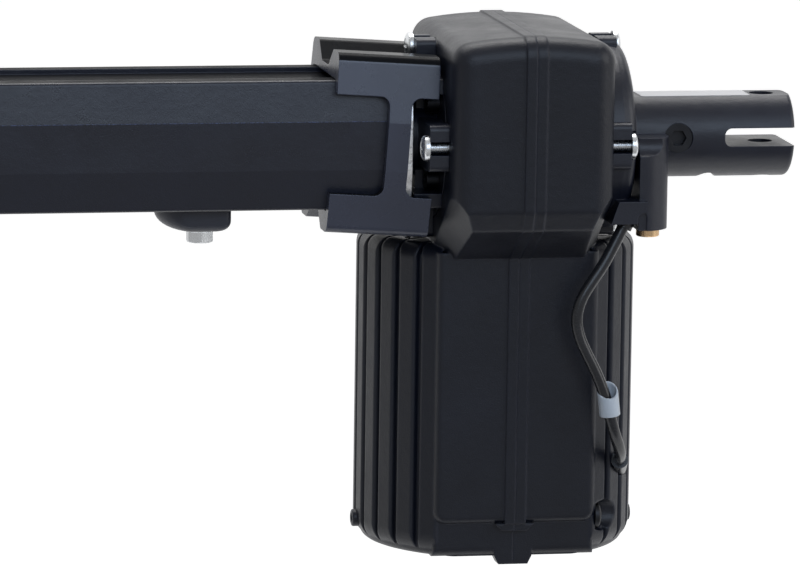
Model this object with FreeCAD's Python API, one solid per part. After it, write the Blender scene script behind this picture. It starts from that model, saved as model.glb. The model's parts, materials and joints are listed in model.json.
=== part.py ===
import FreeCAD, Part
import math
import os

V = FreeCAD.Vector

# Linear swing gate operator. X runs along the drive line, from the front end cap at low X to the rear fork.
# The rear pivot hole is at X = 0. The drive line is Y = 0, Z = 0. Z is up and the motor hangs below.

# Overall places along the drive line
operator_length = 848.5
fork_overhang = 10.5
pivot_to_motor = 104.5
worm_centre_distance = 28.0

# Clearances
running_clearance = 0.05
slide_clearance = 0.4
seat_clearance = 0.15
mesh_clearance = 0.3

# Tube profile
tube_half_height = 26.3
tube_crease_half_width = 28.0
tube_edge_half_width = 25.5
tube_crease_height = 9.8
tube_wall = 3.0
tube_corner_radius = 1.5
tube_groove_half_width = 17.0
tube_groove_depth = 2.0
tube_slot_width = 16.0
tube_gap_to_cover = 12.5
end_cap_thickness = 6.0
end_cap_spigot = 12.0
end_cap_screw_offset = 18.0

# Joint saddle
saddle_length = 41.6
saddle_half_height = 36.5
saddle_half_depth = 33.0
saddle_ridge_width = 13.0
saddle_valley_depth = 7.5
saddle_valley_half_width = 7.0
saddle_corner_radius = 4.0
saddle_ridge_radius = 2.0
saddle_valley_radius = 3.0
saddle_tilt = 3.6
saddle_gap_to_cover = 4.0
saddle_web = 9.0
saddle_right_notch = 10.9
saddle_notch_half_height = 20.2
saddle_notch_radius = 4.0
saddle_inside_clearance = 0.4

# Cover, split on the plane through the motor axis
cover_width = 67.0
cover_depth = 100.0
cover_shoulder_height = 42.0
cover_crown = 3.4
cover_wall = 2.6
cover_edge_radius = 9.0
cover_top_radius = 8.5
chin_drop = 25.0
chin_lip_drop = 33.0
chin_lip_inset = 4.0
chin_bottom_drop = 48.0
chin_edge_radius = 4.0
chin_lip_radius = 3.0
facet_drop = 21.0
facet_from_side = 3.0
facet_from_front = 2.0
facet_yaw = 23.5
facet_pitch = 27.3
panel_forward = 49.0
panel_bottom_drop = 157.5
panel_corner_radius = 5.0
panel_edge_radius = 3.0
seam_band_width = 8.7
seam_band_height = 1.0
motor_cover_radius = 54.5
motor_cover_bottom = 171.5
motor_cover_top = 42.6
motor_cover_edge_radius = 4.0
apron_set_back = 2.5
apron_edge_radius = 2.0
fin_height = 2.6
fin_root_width = 9.6
fin_tip_width = 8.4
fin_edge_radius = 1.2
fin_inner_radius = 32.0
fin_pitch_angle = 11.6
fin_first_angle = 38.8
fin_count = 12
fin_bottom_drop = 171.0
fin_bottom_radius = 9.0
fin_top_radius = 6.5
foot_tab_width = 15.4
foot_tab_height = 3.3
collar_width = 16.4
collar_height = 3.0
collar_taper = 3.0
case_opening_radius = 34.0

# Cover screws
screw_circle_radius = 37.0
screw_shank_radius = 2.4
screw_head_radius = 5.2
screw_head_height = 3.2
screw_head_shoulder = 2.56
screw_length = 19.0
screw_boss_radius = 4.8
screw_boss_length = 11.0
lug_thickness = 8.0
lug_overhang = 3.6
lug_corner_radius = 2.5
lug_half_width = 9.5
lower_screw_forward = 42.0
lower_screw_drop = 156.0
lower_screw_recess_radius = 6.5
lower_screw_seat_inset = 34.2

# Gear case
case_radius = 33.0
case_chamber_radius = 23.5
case_chamber_width = 15.0
case_bearing_radius = 16.0
case_spigot_length = 3.0
tunnel_radius = 15.0
tunnel_bore_radius = 10.0
tunnel_top = 32.0
tunnel_cap = 4.0
motor_flange_top = 49.0
motor_flange_thickness = 6.0
motor_flange_radius = 40.0
flange_reach = 11.4
flange_hub_radius = 16.0
flange_arm_half_width = 10.0
flange_screw_circle = 22.0
flange_screw_radius = 2.5
flange_screw_head_radius = 4.25
flange_screw_head_height = 5.0
flange_screw_key = 4.0
flange_screw_key_depth = 2.5
flange_screw_length = 12.0

# Worm drive
wheel_teeth = 32
wheel_module = 1.25
wheel_width = 12.0
wheel_dedendum = 1.25
tooth_root_share = 0.36
tooth_tip_share = 0.14
hub_radius = 10.5
hub_left_reach = 22.5
bearing_width = 8.0
worm_core_length = 36.0
worm_shaft_radius = 5.0
worm_shaft_top = 27.0
bush_length = 9.0
lower_bush_top = 35.0

# Motor
motor_radius = 40.0
motor_wall = 2.5
motor_bottom = 148.0
motor_plate_thickness = 6.0
magnet_thickness = 6.0
magnet_angle = 130.0
rotor_radius = 30.0
rotor_length = 72.0
rotor_top = 66.0
motor_screw_circle = 24.0
motor_screw_angle = 20.0

# Lead screw
screw_radius = 9.0
screw_shaft_radius = 7.5
screw_key_radius = 6.0
screw_key_flat = 4.5
screw_tail_radius = 5.0
screw_front_radius = 6.0

# Dog clutch and manual release
clutch_throw_radius = 4.0
clutch_radius = 13.5
clutch_groove_radius = 8.6
clutch_groove_width = 4.3
clutch_rim = 2.2
clutch_body_length = 6.0
dog_length = 4.0
dog_half_angle = 24.0
dog_side_clearance = 4.0
release_x = -50.0
release_y = -15.0
release_radius = 4.75
release_bottom = 39.0
release_body_top = 16.0
release_pin_radius = 1.7
release_pin_top = 3.0
release_key_across = 6.0
release_key_depth = 4.0

# Rear casting
bell_outer_radius = 38.5
bell_rim_radius = 37.5
bell_width = 11.0
bell_edge_radius = 4.0
bell_root_radius = 22.0
arm_radius = 18.0
arm_flat_drop = 2.0
arm_start = -58.0
arm_root_length = 4.0
fork_gap = 7.5
fork_gap_depth = 29.5
fork_end_radius = 2.0
fork_root_radius = 3.0
pivot_hole_radius = 5.05
set_screw_x = -38.5
set_screw_radius = 6.0
set_screw_socket = 6.0
set_screw_socket_depth = 2.5
set_screw_sunk = 0.6
arm_notch_x = -23.5
arm_notch_radius = 5.0
arm_notch_depth = 2.4
plug_end = -29.0
plug_wall = 4.5
chamber_end = -42.5
lock_column_left = -58.0
lock_column_right = -44.0
lock_column_front = -34.0
lock_column_back = -6.0
lock_column_top = 2.0
lock_column_drop = 35.5
lock_column_radius = 12.0
cable_pad_left = -67.2
cable_pad_right = -55.2
cable_pad_flare = 3.2
cable_pad_taper = 2.4
cable_pad_front = -38.0
cable_pad_back = -20.0
cable_pad_top = 22.9
cable_pad_drop = 32.0
cable_arch_radius = 2.4
cable_arch_x = -57.0
cable_arch_drop = 30.0
cable_arch_depth = 5.0

# Traveller
traveller_x = -480.0
carriage_length = 70.0
carriage_half_width = 19.0
carriage_half_height = 15.0
carriage_top_radius = 6.0
carriage_bottom_radius = 3.0
nut_radius = 12.0
nut_flange_radius = 14.5
nut_flange_thickness = 5.0
nut_body_length = 40.0
pad_length = 24.0
pad_height = 12.0
neck_length = 40.0
neck_clearance = 1.0
pin_block_length = 44.0
pin_block_half_width = 14.0
pin_block_top = 28.0
pin_block_bottom = 42.0
pin_block_radius = 4.0
pin_radius = 5.0
pin_reach = 18.0
pin_seat_depth = 10.0
pin_seat_radius = 4.0
pin_relief_radius = 4.4
pin_relief_width = 0.6
pin_tip_radius = 1.0
pin_groove_from_tip = 4.0
pin_groove_width = 1.1
pin_groove_radius = 4.0

# Adjustable stops
rear_stop_x = -232.6
front_stop_x = -715.2
stop_nose_reach = 18.7
stop_tail_reach = 11.0
stop_half_width = 14.0
stop_top = 26.6
stop_bottom = 36.8
stop_edge_radius = 5.0
stop_bolt_radius = 3.0
stop_bolt_across = 10.0
stop_bolt_head = 4.6
stop_washer_radius = 6.2
stop_washer_thickness = 1.0
stop_nut_length = 20.0
stop_nut_half_width = 12.0
stop_nut_thickness = 6.0

# Cable, with its route as points along the centre line
cable_radius = 2.4
cable_route = [
    (-63.6, -29.0, -34.6),
    (-67.6, -29.9, -42.2),
    (-71.8, -31.0, -49.6),
    (-76.8, -32.0, -56.4),
    (-81.2, -32.6, -63.2),
    (-83.2, -32.8, -71.0),
    (-81.6, -32.9, -79.0),
    (-78.0, -32.9, -86.4),
    (-74.0, -32.7, -94.0),
    (-70.7, -32.4, -102.2),
    (-68.2, -31.8, -110.8),
    (-65.7, -29.6, -118.8),
    (-62.6, -25.0, -125.4),
    (-60.2, -18.6, -130.4),
    (-58.9, -11.0, -133.8),
]
cable_arc_share = 0.45
grommet_radius = 3.6
grommet_length = 18.0
sleeve_radius = 4.0
sleeve_wall = 1.2
sleeve_length = 12.0
sleeve_run = 9

# Derived stations along the drive line
cover_left = -pivot_to_motor - cover_width / 2
cover_right = -pivot_to_motor + cover_width / 2
cap_outer_x = fork_overhang - operator_length
tube_left = cap_outer_x + end_cap_thickness
tube_right = cover_left - tube_gap_to_cover
case_left = cover_left + case_spigot_length
case_right = cover_right - case_spigot_length
flange_left = cover_left - flange_reach
wheel_pitch_radius = wheel_module * wheel_teeth / 2
wheel_tip_radius = wheel_pitch_radius + wheel_module
wheel_root_radius = wheel_pitch_radius - wheel_dedendum * wheel_module
worm_core_radius = worm_centre_distance - wheel_tip_radius - mesh_clearance
plug_radius = clutch_radius + slide_clearance - running_clearance
clutch_half_throw = clutch_throw_radius * math.sin(math.radians(45))
clutch_groove_x = release_x - clutch_half_throw
clutch_right = clutch_groove_x + clutch_groove_width / 2 + clutch_rim
clutch_left = clutch_groove_x - clutch_groove_width / 2 - clutch_body_length
hub_right = clutch_left - mesh_clearance
shaft_right = hub_right + mesh_clearance / 2
hub_left = -pivot_to_motor - hub_left_reach
motor_plate_top = motor_flange_top + motor_flange_thickness
motor_can_top = motor_plate_top + motor_plate_thickness
front_face = -cover_depth / 2
panel_face = worm_centre_distance - panel_forward
half_cover = cover_width / 2


def across_x(x):
    """Places an outline's (y, z) corners on the plane at this X."""
    return lambda p: V(x, p.x, p.y)


def across_y(y):
    """Places an outline's (x, z) corners on the plane at this Y."""
    return lambda p: V(p.x, y, p.y)


def across_z(z):
    """Places an outline's (x, y) corners on the plane at this Z."""
    return lambda p: V(p.x, p.y, z)


def outline(corners, place):
    """A closed wire through corners (u, v) or (u, v, radius), with a tangent arc where there is a radius."""
    points = [V(c[0], c[1], 0) for c in corners]
    radii = [c[2] if len(c) > 2 else 0 for c in corners]
    spans = []
    for i, here in enumerate(points):
        if radii[i] == 0:
            spans.append((here, None, here))
            continue
        back = (points[i - 1] - here).normalize()
        ahead = (points[(i + 1) % len(points)] - here).normalize()
        half_turn = back.getAngle(ahead) / 2
        reach = radii[i] / math.tan(half_turn)
        inward = (back + ahead).normalize()
        middle = here + inward * (radii[i] / math.sin(half_turn) - radii[i])
        spans.append((here + back * reach, middle, here + ahead * reach))
    edges = []
    for i, (start, middle, end) in enumerate(spans):
        if middle is not None:
            edges.append(Part.Arc(place(start), place(middle), place(end)).toShape())
        after = spans[(i + 1) % len(spans)][0]
        if (after - end).Length > 1e-6:
            edges.append(Part.makeLine(place(end), place(after)))
    return Part.Wire(edges)


def bar_x(corners, start, end):
    """An outline in (y, z) drawn out along X."""
    return Part.Face(outline(corners, across_x(start))).extrude(V(end - start, 0, 0))


def bar_y(corners, start, end):
    """An outline in (x, z) drawn out along Y."""
    return Part.Face(outline(corners, across_y(start))).extrude(V(0, end - start, 0))


def bar_z(corners, start, end):
    """An outline in (x, y) drawn out along Z."""
    return Part.Face(outline(corners, across_z(start))).extrude(V(0, 0, end - start))


def block(x, y, z):
    """A block between the pairs of limits x, y and z."""
    return Part.makeBox(x[1] - x[0], y[1] - y[0], z[1] - z[0], V(x[0], y[0], z[0]))


def rod_x(radius, start, end, y=0.0, z=0.0):
    return Part.makeCylinder(radius, end - start, V(start, y, z), V(1, 0, 0))


def rod_y(radius, start, end, x=0.0, z=0.0):
    return Part.makeCylinder(radius, end - start, V(x, start, z), V(0, 1, 0))


def rod_z(radius, start, end, x=0.0, y=0.0):
    return Part.makeCylinder(radius, end - start, V(x, y, start), V(0, 0, 1))


def turned_x(corners):
    """A profile of (x, radius) corners turned about the drive line."""
    return Part.Face(outline(corners, across_z(0))).revolve(V(0, 0, 0), V(1, 0, 0), 360)


def hexagon(across, centre_u, centre_v):
    """Corners of a hexagon that is this wide across its flats."""
    radius = across / math.sqrt(3)
    angles = [math.radians(60 * i) for i in range(6)]
    return [(centre_u + radius * math.cos(a), centre_v + radius * math.sin(a)) for a in angles]


def joined(shapes):
    return shapes[0].multiFuse(shapes[1:]).removeSplitter()


def save(name, *solids):
    shape = solids[0] if len(solids) == 1 else Part.makeCompound(solids)
    shape.exportStep(f"parts/{name}.step")


def tube_outline(grow):
    """The tube's outer corners in (y, z), moved outward by grow: creased sides and flat top and bottom."""
    top = tube_half_height + grow
    edge = tube_edge_half_width + grow
    crease = tube_crease_half_width + grow
    corner = tube_corner_radius
    return [
        (-edge, -top, corner),
        (-crease, -tube_crease_height),
        (-crease, tube_crease_height),
        (-edge, top, corner),
        (edge, top, corner),
        (crease, tube_crease_height),
        (crease, -tube_crease_height),
        (edge, -top, corner),
    ]


def tube_profile():
    """The extruded tube: hollow, with a shallow groove along the top and a slot along the bottom."""
    tube = bar_x(tube_outline(0), tube_left, tube_right)
    tube = tube.cut(bar_x(tube_outline(-tube_wall), tube_left, tube_right))
    groove_z = (tube_half_height - tube_groove_depth, tube_half_height + tube_wall)
    groove_y = (-tube_groove_half_width, tube_groove_half_width)
    tube = tube.cut(block((tube_left, tube_right), groove_y, groove_z))
    slot_z = (-tube_half_height - tube_wall, -tube_half_height + 2 * tube_wall)
    return tube.cut(block((tube_left, tube_right), (-tube_slot_width / 2, tube_slot_width / 2), slot_z))


def end_cap_screw_places():
    offset = end_cap_screw_offset
    return [(side * offset, level * offset) for side in (-1, 1) for level in (-1, 1)]


def front_end_cap():
    """The plug that closes the tube's front end and carries the lead screw's front bush."""
    cap = bar_x(tube_outline(0), cap_outer_x, tube_left)
    cap = cap.fuse(bar_x(tube_outline(-tube_wall - seat_clearance), tube_left, tube_left + end_cap_spigot))
    cap = cap.cut(rod_x(screw_radius + seat_clearance, tube_left, tube_left + end_cap_spigot))
    for y, z in end_cap_screw_places():
        hole = rod_x(screw_shank_radius + seat_clearance, cap_outer_x, tube_left + end_cap_spigot, y, z)
        cap = cap.cut(hole)
    return cap


def end_cap_screws():
    return [pan_screw(cap_outer_x, 1, y, z, end_cap_thickness + end_cap_spigot / 2)
            for y, z in end_cap_screw_places()]


def pan_screw(seat_x, way, y, z, length):
    """A domed screw along X whose head sits on seat_x and whose shank goes the given way."""
    seat = V(seat_x, y, z)
    crown = V(seat_x - way * screw_head_height, y, z)
    rim = V(seat_x, y, z + screw_head_radius)
    shoulder = V(seat_x - way * screw_head_shoulder, y, z + screw_head_radius / 2)
    tip = V(seat_x + way * length, y, z)
    up = V(0, 0, screw_shank_radius)
    profile = Part.Wire([Part.Arc(crown, shoulder, rim).toShape(), Part.makeLine(rim, seat + up),
                         Part.makeLine(seat + up, tip + up), Part.makeLine(tip + up, tip),
                         Part.makeLine(tip, crown)])
    return Part.Face(profile).revolve(seat, V(1, 0, 0), 360)


def front_screw_bush():
    bush = rod_x(screw_radius, tube_left, tube_left + end_cap_spigot)
    return bush.cut(rod_x(screw_front_radius + running_clearance, tube_left, tube_left + end_cap_spigot))


def joint_saddle():
    """The saddle over the joint: two ridges with a valley above and below, a notch each side of its web."""
    top = saddle_half_height
    low = top - saddle_valley_depth
    side = saddle_half_depth
    crease = tube_crease_height
    taper = (tube_crease_half_width - tube_edge_half_width) / (tube_half_height - crease)
    edge = side - taper * (top - crease)
    inner = side - saddle_ridge_width - saddle_corner_radius
    valley = saddle_valley_half_width
    corner = saddle_corner_radius
    ridge = saddle_ridge_radius
    dip = saddle_valley_radius
    upper = [(-side, crease, 0), (-edge, top, corner), (-inner, top, ridge), (-valley, low, dip),
             (valley, low, dip), (inner, top, ridge), (edge, top, corner), (side, crease, 0)]
    lower = [(y, -z, r) for y, z, r in reversed(upper)]
    right = cover_left - saddle_gap_to_cover
    left = right - saddle_length
    saddle = bar_x(upper + lower, left, right)
    notch = saddle_notch_half_height
    web_right = right - saddle_right_notch
    web_left = web_right - saddle_web
    for near, far in ((web_right, right + saddle_length), (left - saddle_length, web_left)):
        corners = [(near, -notch, saddle_notch_radius), (near, notch, saddle_notch_radius),
                   (far, notch, saddle_notch_radius), (far, -notch, saddle_notch_radius)]
        saddle = saddle.cut(bar_y(corners, -2 * side, 2 * side))
    saddle.rotate(V((left + right) / 2, 0, 0), V(0, 1, 0), saddle_tilt)
    relief = lug_half_width + slide_clearance
    tall = 2 * saddle_half_height
    saddle = saddle.cut(block((cover_left - lug_thickness - slide_clearance, cover_left), (-relief, relief),
                              (-tall, tall)))
    inside = tube_outline(saddle_inside_clearance)
    return saddle.cut(bar_x(inside, left - saddle_length, right + saddle_length))


def screw_places():
    """Places (y, z) of the four cover screws on one side."""
    turns = [math.radians(90 * i) for i in range(4)]
    return [(screw_circle_radius * math.cos(t), screw_circle_radius * math.sin(t)) for t in turns]


def forked_lugs(start, end):
    """Four lugs across X, each with an open slot for a cover screw."""
    reach = screw_circle_radius + lug_overhang
    slot = screw_shank_radius + slide_clearance
    lug = bar_x([(flange_hub_radius, -lug_half_width), (reach, -lug_half_width, lug_corner_radius),
                 (reach, lug_half_width, lug_corner_radius), (flange_hub_radius, lug_half_width)], start, end)
    lug = lug.cut(block((start, end), (screw_circle_radius, reach), (-slot, slot)))
    lug = lug.cut(rod_x(slot, start, end, screw_circle_radius, 0))
    lugs = []
    for i in range(4):
        turned = lug.copy()
        turned.rotate(V(0, 0, 0), V(1, 0, 0), 90 * i)
        lugs.append(turned)
    return lugs


def flange_screw_places():
    turns = [math.radians(45 + 90 * i) for i in range(4)]
    return [(flange_screw_circle * math.cos(t), flange_screw_circle * math.sin(t)) for t in turns]


def front_flange():
    """The casting between tube and gear case: tube-shaped tongues above and below, a hub and four lugs."""
    tongues = bar_x(tube_outline(0), flange_left, cover_left)
    room = 2 * tube_crease_half_width
    tongues = tongues.cut(block((flange_left, cover_left), (-room, room),
                                (-saddle_notch_half_height, saddle_notch_half_height)))
    arm = flange_arm_half_width
    reach = (-tube_half_height + tube_wall, tube_half_height - tube_wall)
    spoke = block((cover_left - lug_thickness, cover_left), (-arm, arm), reach)
    hub = rod_x(flange_hub_radius, flange_left, cover_left)
    plate = rod_x(case_radius, cover_left, case_left)
    flange = joined([tongues, spoke, hub, plate] + forked_lugs(cover_left - lug_thickness, cover_left))
    flange = flange.cut(rod_x(screw_shaft_radius + slide_clearance, flange_left, case_left))
    for y, z in flange_screw_places():
        flange = flange.cut(rod_x(flange_screw_radius + seat_clearance, flange_left, case_left, y, z))
    return flange


def flange_screws():
    """Socket screws that hold the front flange to the gear case."""
    screws = []
    for y, z in flange_screw_places():
        crown = cover_left - flange_screw_head_height
        head = rod_x(flange_screw_head_radius, crown, cover_left, y, z)
        head = head.cut(bar_x(hexagon(flange_screw_key, y, z), crown, crown + flange_screw_key_depth))
        shank = rod_x(flange_screw_radius, cover_left, cover_left + flange_screw_length, y, z)
        screws.append(head.fuse(shank).removeSplitter())
    return screws


def gear_case():
    """The gear housing: a barrel on the drive line, an upright worm tunnel behind it and the motor flange."""
    centre = -pivot_to_motor
    behind = worm_centre_distance
    barrel = rod_x(case_radius, case_left, case_right)
    tunnel = rod_z(tunnel_radius, -motor_flange_top, tunnel_top, centre, behind)
    plate = rod_z(motor_flange_radius, -motor_plate_top, -motor_flange_top, centre, behind)
    case = joined([barrel, tunnel, plate])
    bearing_bore = case_bearing_radius + seat_clearance
    half_chamber = case_chamber_width / 2
    case = case.cut(rod_x(bearing_bore, case_left, case_right))
    case = case.cut(rod_x(case_chamber_radius, centre - half_chamber, centre + half_chamber))
    case = case.cut(rod_z(tunnel_bore_radius, -motor_plate_top, tunnel_top - tunnel_cap, centre, behind))
    for y, z in flange_screw_places():
        case = case.cut(rod_x(flange_screw_radius + seat_clearance, case_left,
                              cover_left + flange_screw_length + seat_clearance, y, z))
    for x, y in motor_screw_places():
        case = case.cut(rod_z(screw_shank_radius + seat_clearance, -motor_plate_top, -motor_flange_top, x, y))
    return case


def motor_screw_places():
    sides = (motor_screw_angle, 180 - motor_screw_angle, 180 + motor_screw_angle, 360 - motor_screw_angle)
    turns = [math.radians(angle) for angle in sides]
    return [(-pivot_to_motor + motor_screw_circle * math.cos(t),
             worm_centre_distance + motor_screw_circle * math.sin(t)) for t in turns]


def motor_screws():
    """Socket screws from the gear case's motor flange down into the motor's end plate."""
    screws = []
    for x, y in motor_screw_places():
        head_size = 2 * screw_shank_radius
        head = rod_z(head_size, -motor_flange_top, head_size - motor_flange_top, x, y)
        shank = rod_z(screw_shank_radius, -motor_can_top, -motor_flange_top, x, y)
        screws.append(head.fuse(shank).removeSplitter())
    return screws


def crowned_block(half, front, back, bottom, inset):
    """A block with an arched top, rounded along its upright edges and round its top."""
    centre = -pivot_to_motor
    shoulder = cover_shoulder_height - inset
    low_left = V(centre - half, front, -bottom)
    low_right = V(centre + half, front, -bottom)
    left = V(centre - half, front, shoulder)
    right = V(centre + half, front, shoulder)
    arch = Part.Arc(left, V(centre, front, shoulder + cover_crown), right).toShape()
    wire = Part.Wire([Part.makeLine(low_left, left), arch, Part.makeLine(right, low_right),
                      Part.makeLine(low_right, low_left)])
    solid = Part.Face(wire).extrude(V(0, back - front, 0))
    upright = [e for e in solid.Edges if e.BoundBox.ZLength > shoulder]
    solid = solid.makeFillet(cover_edge_radius - inset, upright)
    top = max(solid.Faces, key=lambda face: face.CenterOfMass.z)
    return solid.makeFillet(cover_top_radius - inset, top.Edges)


def chin_line(front, panel, inset):
    """Corners (y, z) of the chin from the front face over its lip back to the panel."""
    return [(front, inset - chin_drop, chin_edge_radius),
            (front + chin_lip_inset, inset - chin_lip_drop, chin_lip_radius),
            (panel, inset - chin_bottom_drop)]


def upper_cover(inset):
    """The cover's upper block inside a wall of inset, with a chin that slopes back to the panel."""
    half = half_cover - inset
    front = front_face + inset
    back = cover_depth / 2 - inset
    panel = panel_face + inset
    bottom = chin_bottom_drop + inset
    peak = cover_shoulder_height + cover_crown
    solid = crowned_block(half, front, back, bottom, inset)
    side = chin_line(front, panel, inset) + [(panel, -bottom), (back, -bottom), (back, peak), (front, peak)]
    solid = solid.common(bar_x(side, cover_left, cover_right))
    yaw = math.radians(facet_yaw)
    pitch = math.radians(facet_pitch)
    for way in (-1, 1):
        outward = V(way * math.cos(pitch) * math.cos(yaw), -math.cos(pitch) * math.sin(yaw), -math.sin(pitch))
        beside = way * (half_cover - facet_from_side)
        corner = V(-pivot_to_motor + beside, front_face + facet_from_front, -facet_drop)
        solid = solid.cut(Part.makeCylinder(cover_depth, cover_depth, corner - outward * inset, outward))
    return solid


def lower_cover(inset):
    """The motor's cover inside a wall of inset: a round can with a flat apron and a raised panel in front."""
    centre = -pivot_to_motor
    bottom = motor_cover_bottom - inset
    top = motor_cover_top + fin_height + inset
    can = rod_z(motor_cover_radius - inset, -bottom, -top, centre, worm_centre_distance)
    lower_rim = [e for e in can.Edges if e.BoundBox.ZMax < 1e-6 - bottom]
    can = can.makeFillet(motor_cover_edge_radius, lower_rim)
    upper_rim = [e for e in can.Edges if e.BoundBox.ZMin > -top - 1e-6]
    can = can.makeFillet(fin_top_radius - fin_height - inset, upper_rim)
    front = panel_face + apron_set_back + inset
    reach = motor_cover_radius
    depth = (front + apron_edge_radius, worm_centre_distance + reach)
    can = can.common(block((centre - reach, centre + reach), depth, (-bottom, -top)))
    half = half_cover - inset
    low = panel_bottom_drop - inset
    high = chin_bottom_drop - cover_wall
    corners = [(centre - half, -low, panel_corner_radius), (centre + half, -low, panel_corner_radius),
               (centre + half, -high), (centre - half, -high)]
    panel = bar_y(corners, panel_face + inset, worm_centre_distance / 2)
    if inset == 0:
        face = [e for e in panel.Edges if e.BoundBox.YMax < panel_face + 1e-6 and e.BoundBox.ZMin < -high - 1]
        panel = panel.makeFillet(panel_edge_radius, face)
    behind = worm_centre_distance / 2
    plan = [(centre - half, front, apron_edge_radius), (centre + half, front, apron_edge_radius),
            (centre + half, behind), (centre - half, behind)]
    side = [(front, -bottom, motor_cover_edge_radius), (behind, -bottom), (behind, -high), (front, -high)]
    apron = bar_z(plan, -bottom, -high).common(bar_x(side, cover_left, cover_right))
    return joined([can, panel, apron])


def fins():
    """Broad upright fins with narrow grooves between, round both sides and the back of the motor's cover."""
    outer = motor_cover_radius + fin_height
    inner = fin_inner_radius
    low = fin_bottom_drop
    high = motor_cover_top
    side = bar_y([(inner, -low), (outer, -low, fin_bottom_radius), (outer, -high, fin_top_radius),
                  (inner, -high)], -fin_root_width, fin_root_width)
    root = fin_root_width / 2
    tip = fin_tip_width / 2
    neck = tip * inner / outer
    fin = side.common(bar_z([(inner, -neck), (motor_cover_radius, -root), (outer, -tip, fin_edge_radius),
                             (outer, tip, fin_edge_radius), (motor_cover_radius, root), (inner, neck)],
                            -low, -high))
    placed = []
    for way in (-1, 1):
        for i in range(fin_count):
            turned = fin.copy()
            turned.rotate(V(0, 0, 0), V(0, 0, 1), -90 + way * (fin_first_angle + i * fin_pitch_angle))
            turned.translate(V(-pivot_to_motor, worm_centre_distance, 0))
            placed.append(turned)
    return placed


def seam_band():
    """The raised band along the seam, over the top and down the front and back, with a collar and a foot."""
    rise = seam_band_height
    front = front_face - rise
    back = cover_depth / 2 + rise
    top = cover_shoulder_height + cover_crown + rise / 2
    panel = panel_face - rise
    rear = worm_centre_distance + motor_cover_radius + fin_height
    corners = [(front, top, cover_top_radius), (back, top, cover_top_radius),
               (back, -motor_cover_top), (rear, -motor_cover_top, fin_top_radius),
               (rear, -fin_bottom_drop, fin_bottom_radius), (panel, -panel_bottom_drop)]
    corners += list(reversed(chin_line(front, panel, 0)))
    half = seam_band_width / 2
    centre = -pivot_to_motor
    band = bar_x(corners, centre - half, centre + half)
    apron = panel_face + apron_set_back
    wide = collar_width / 2
    low = panel_bottom_drop + collar_height
    collar = [(centre - wide + collar_taper, -low), (centre + wide - collar_taper, -low),
              (centre + wide, -panel_bottom_drop), (centre - wide, -panel_bottom_drop)]
    wide = foot_tab_width / 2
    low = motor_cover_bottom + foot_tab_height
    high = motor_cover_bottom - motor_cover_edge_radius
    foot = [(centre - wide + foot_tab_height / 2, -low), (centre + wide - foot_tab_height / 2, -low),
            (centre + wide, -motor_cover_bottom), (centre + wide, -high),
            (centre - wide, -high), (centre - wide, -motor_cover_bottom)]
    deep = 2 * motor_cover_edge_radius
    return [band, bar_y(collar, panel_face, apron + cover_wall), bar_y(foot, apron, apron + deep)]


def lower_screw_places():
    """Places (y, z) of the two screws that clamp the cover halves near the bottom."""
    return [(worm_centre_distance + way * lower_screw_forward, -lower_screw_drop) for way in (-1, 1)]


def cover_shell():
    """The whole hollow cover before it is split on its seam."""
    outer = joined([upper_cover(0), lower_cover(0)] + fins() + seam_band())
    inner = upper_cover(cover_wall).fuse(lower_cover(cover_wall))
    shell = outer.cut(inner)
    bosses = []
    for y, z in screw_places():
        bosses.append(rod_x(screw_boss_radius, cover_left, cover_left + screw_boss_length, y, z))
        bosses.append(rod_x(screw_boss_radius, cover_right - screw_boss_length, cover_right, y, z))
    seat = -pivot_to_motor + lower_screw_seat_inset
    for y, z in lower_screw_places():
        bosses.append(rod_x(lower_screw_recess_radius, 2 * -pivot_to_motor - seat, seat, y, z))
        recess_depth = motor_cover_radius
        pocket = rod_x(lower_screw_recess_radius + cover_wall, seat - cover_wall, seat + recess_depth, y, z)
        bosses.append(pocket)
    shell = joined([shell] + [b.common(outer) for b in bosses])
    opening = rod_x(case_opening_radius, cover_left - cover_wall, cover_right + cover_wall)
    holes = [opening]
    for y, z in screw_places():
        radius = screw_shank_radius + seat_clearance
        deep = screw_boss_length + cover_wall
        holes.append(rod_x(radius, cover_left - cover_wall, cover_left + deep, y, z))
        holes.append(rod_x(radius, cover_right - deep, cover_right + cover_wall, y, z))
    for y, z in lower_screw_places():
        holes.append(rod_x(lower_screw_recess_radius, seat, seat + motor_cover_radius, y, z))
        hole_end = 2 * -pivot_to_motor - seat + cover_wall
        holes.append(rod_x(screw_shank_radius + seat_clearance, hole_end, seat, y, z))
    end, inward = cable_end(-1)
    hole_depth = grommet_length + seat_clearance
    holes.append(Part.makeCylinder(grommet_radius + seat_clearance, hole_depth, end, inward))
    return shell.cut(Part.makeCompound(holes))


def cover_halves():
    """The left and right halves of the cover, which meet on the plane through the motor axis."""
    shell = cover_shell()
    box = shell.BoundBox
    spare = cover_wall
    y = (box.YMin - spare, box.YMax + spare)
    z = (box.ZMin - spare, box.ZMax + spare)
    left = shell.common(block((box.XMin - spare, -pivot_to_motor), y, z))
    right = shell.common(block((-pivot_to_motor, box.XMax + spare), y, z))
    return left, right


def largest(shape):
    """The biggest solid of a shape, without loose crumbs."""
    return max(shape.Solids, key=lambda s: s.Volume)


def side_screws(seat, way):
    return [pan_screw(seat, way, y, z, screw_length) for y, z in screw_places()]


def lower_cover_screws():
    seat = -pivot_to_motor + lower_screw_seat_inset
    length = 2 * lower_screw_seat_inset - cover_wall
    return [pan_screw(seat, -1, y, z, length) for y, z in lower_screw_places()]


def arm_trim():
    """The block that trims the arm to its flat top."""
    top = arm_radius - arm_flat_drop
    return block((arm_start, fork_overhang), (-arm_radius, arm_radius), (-arm_radius, top))


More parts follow.
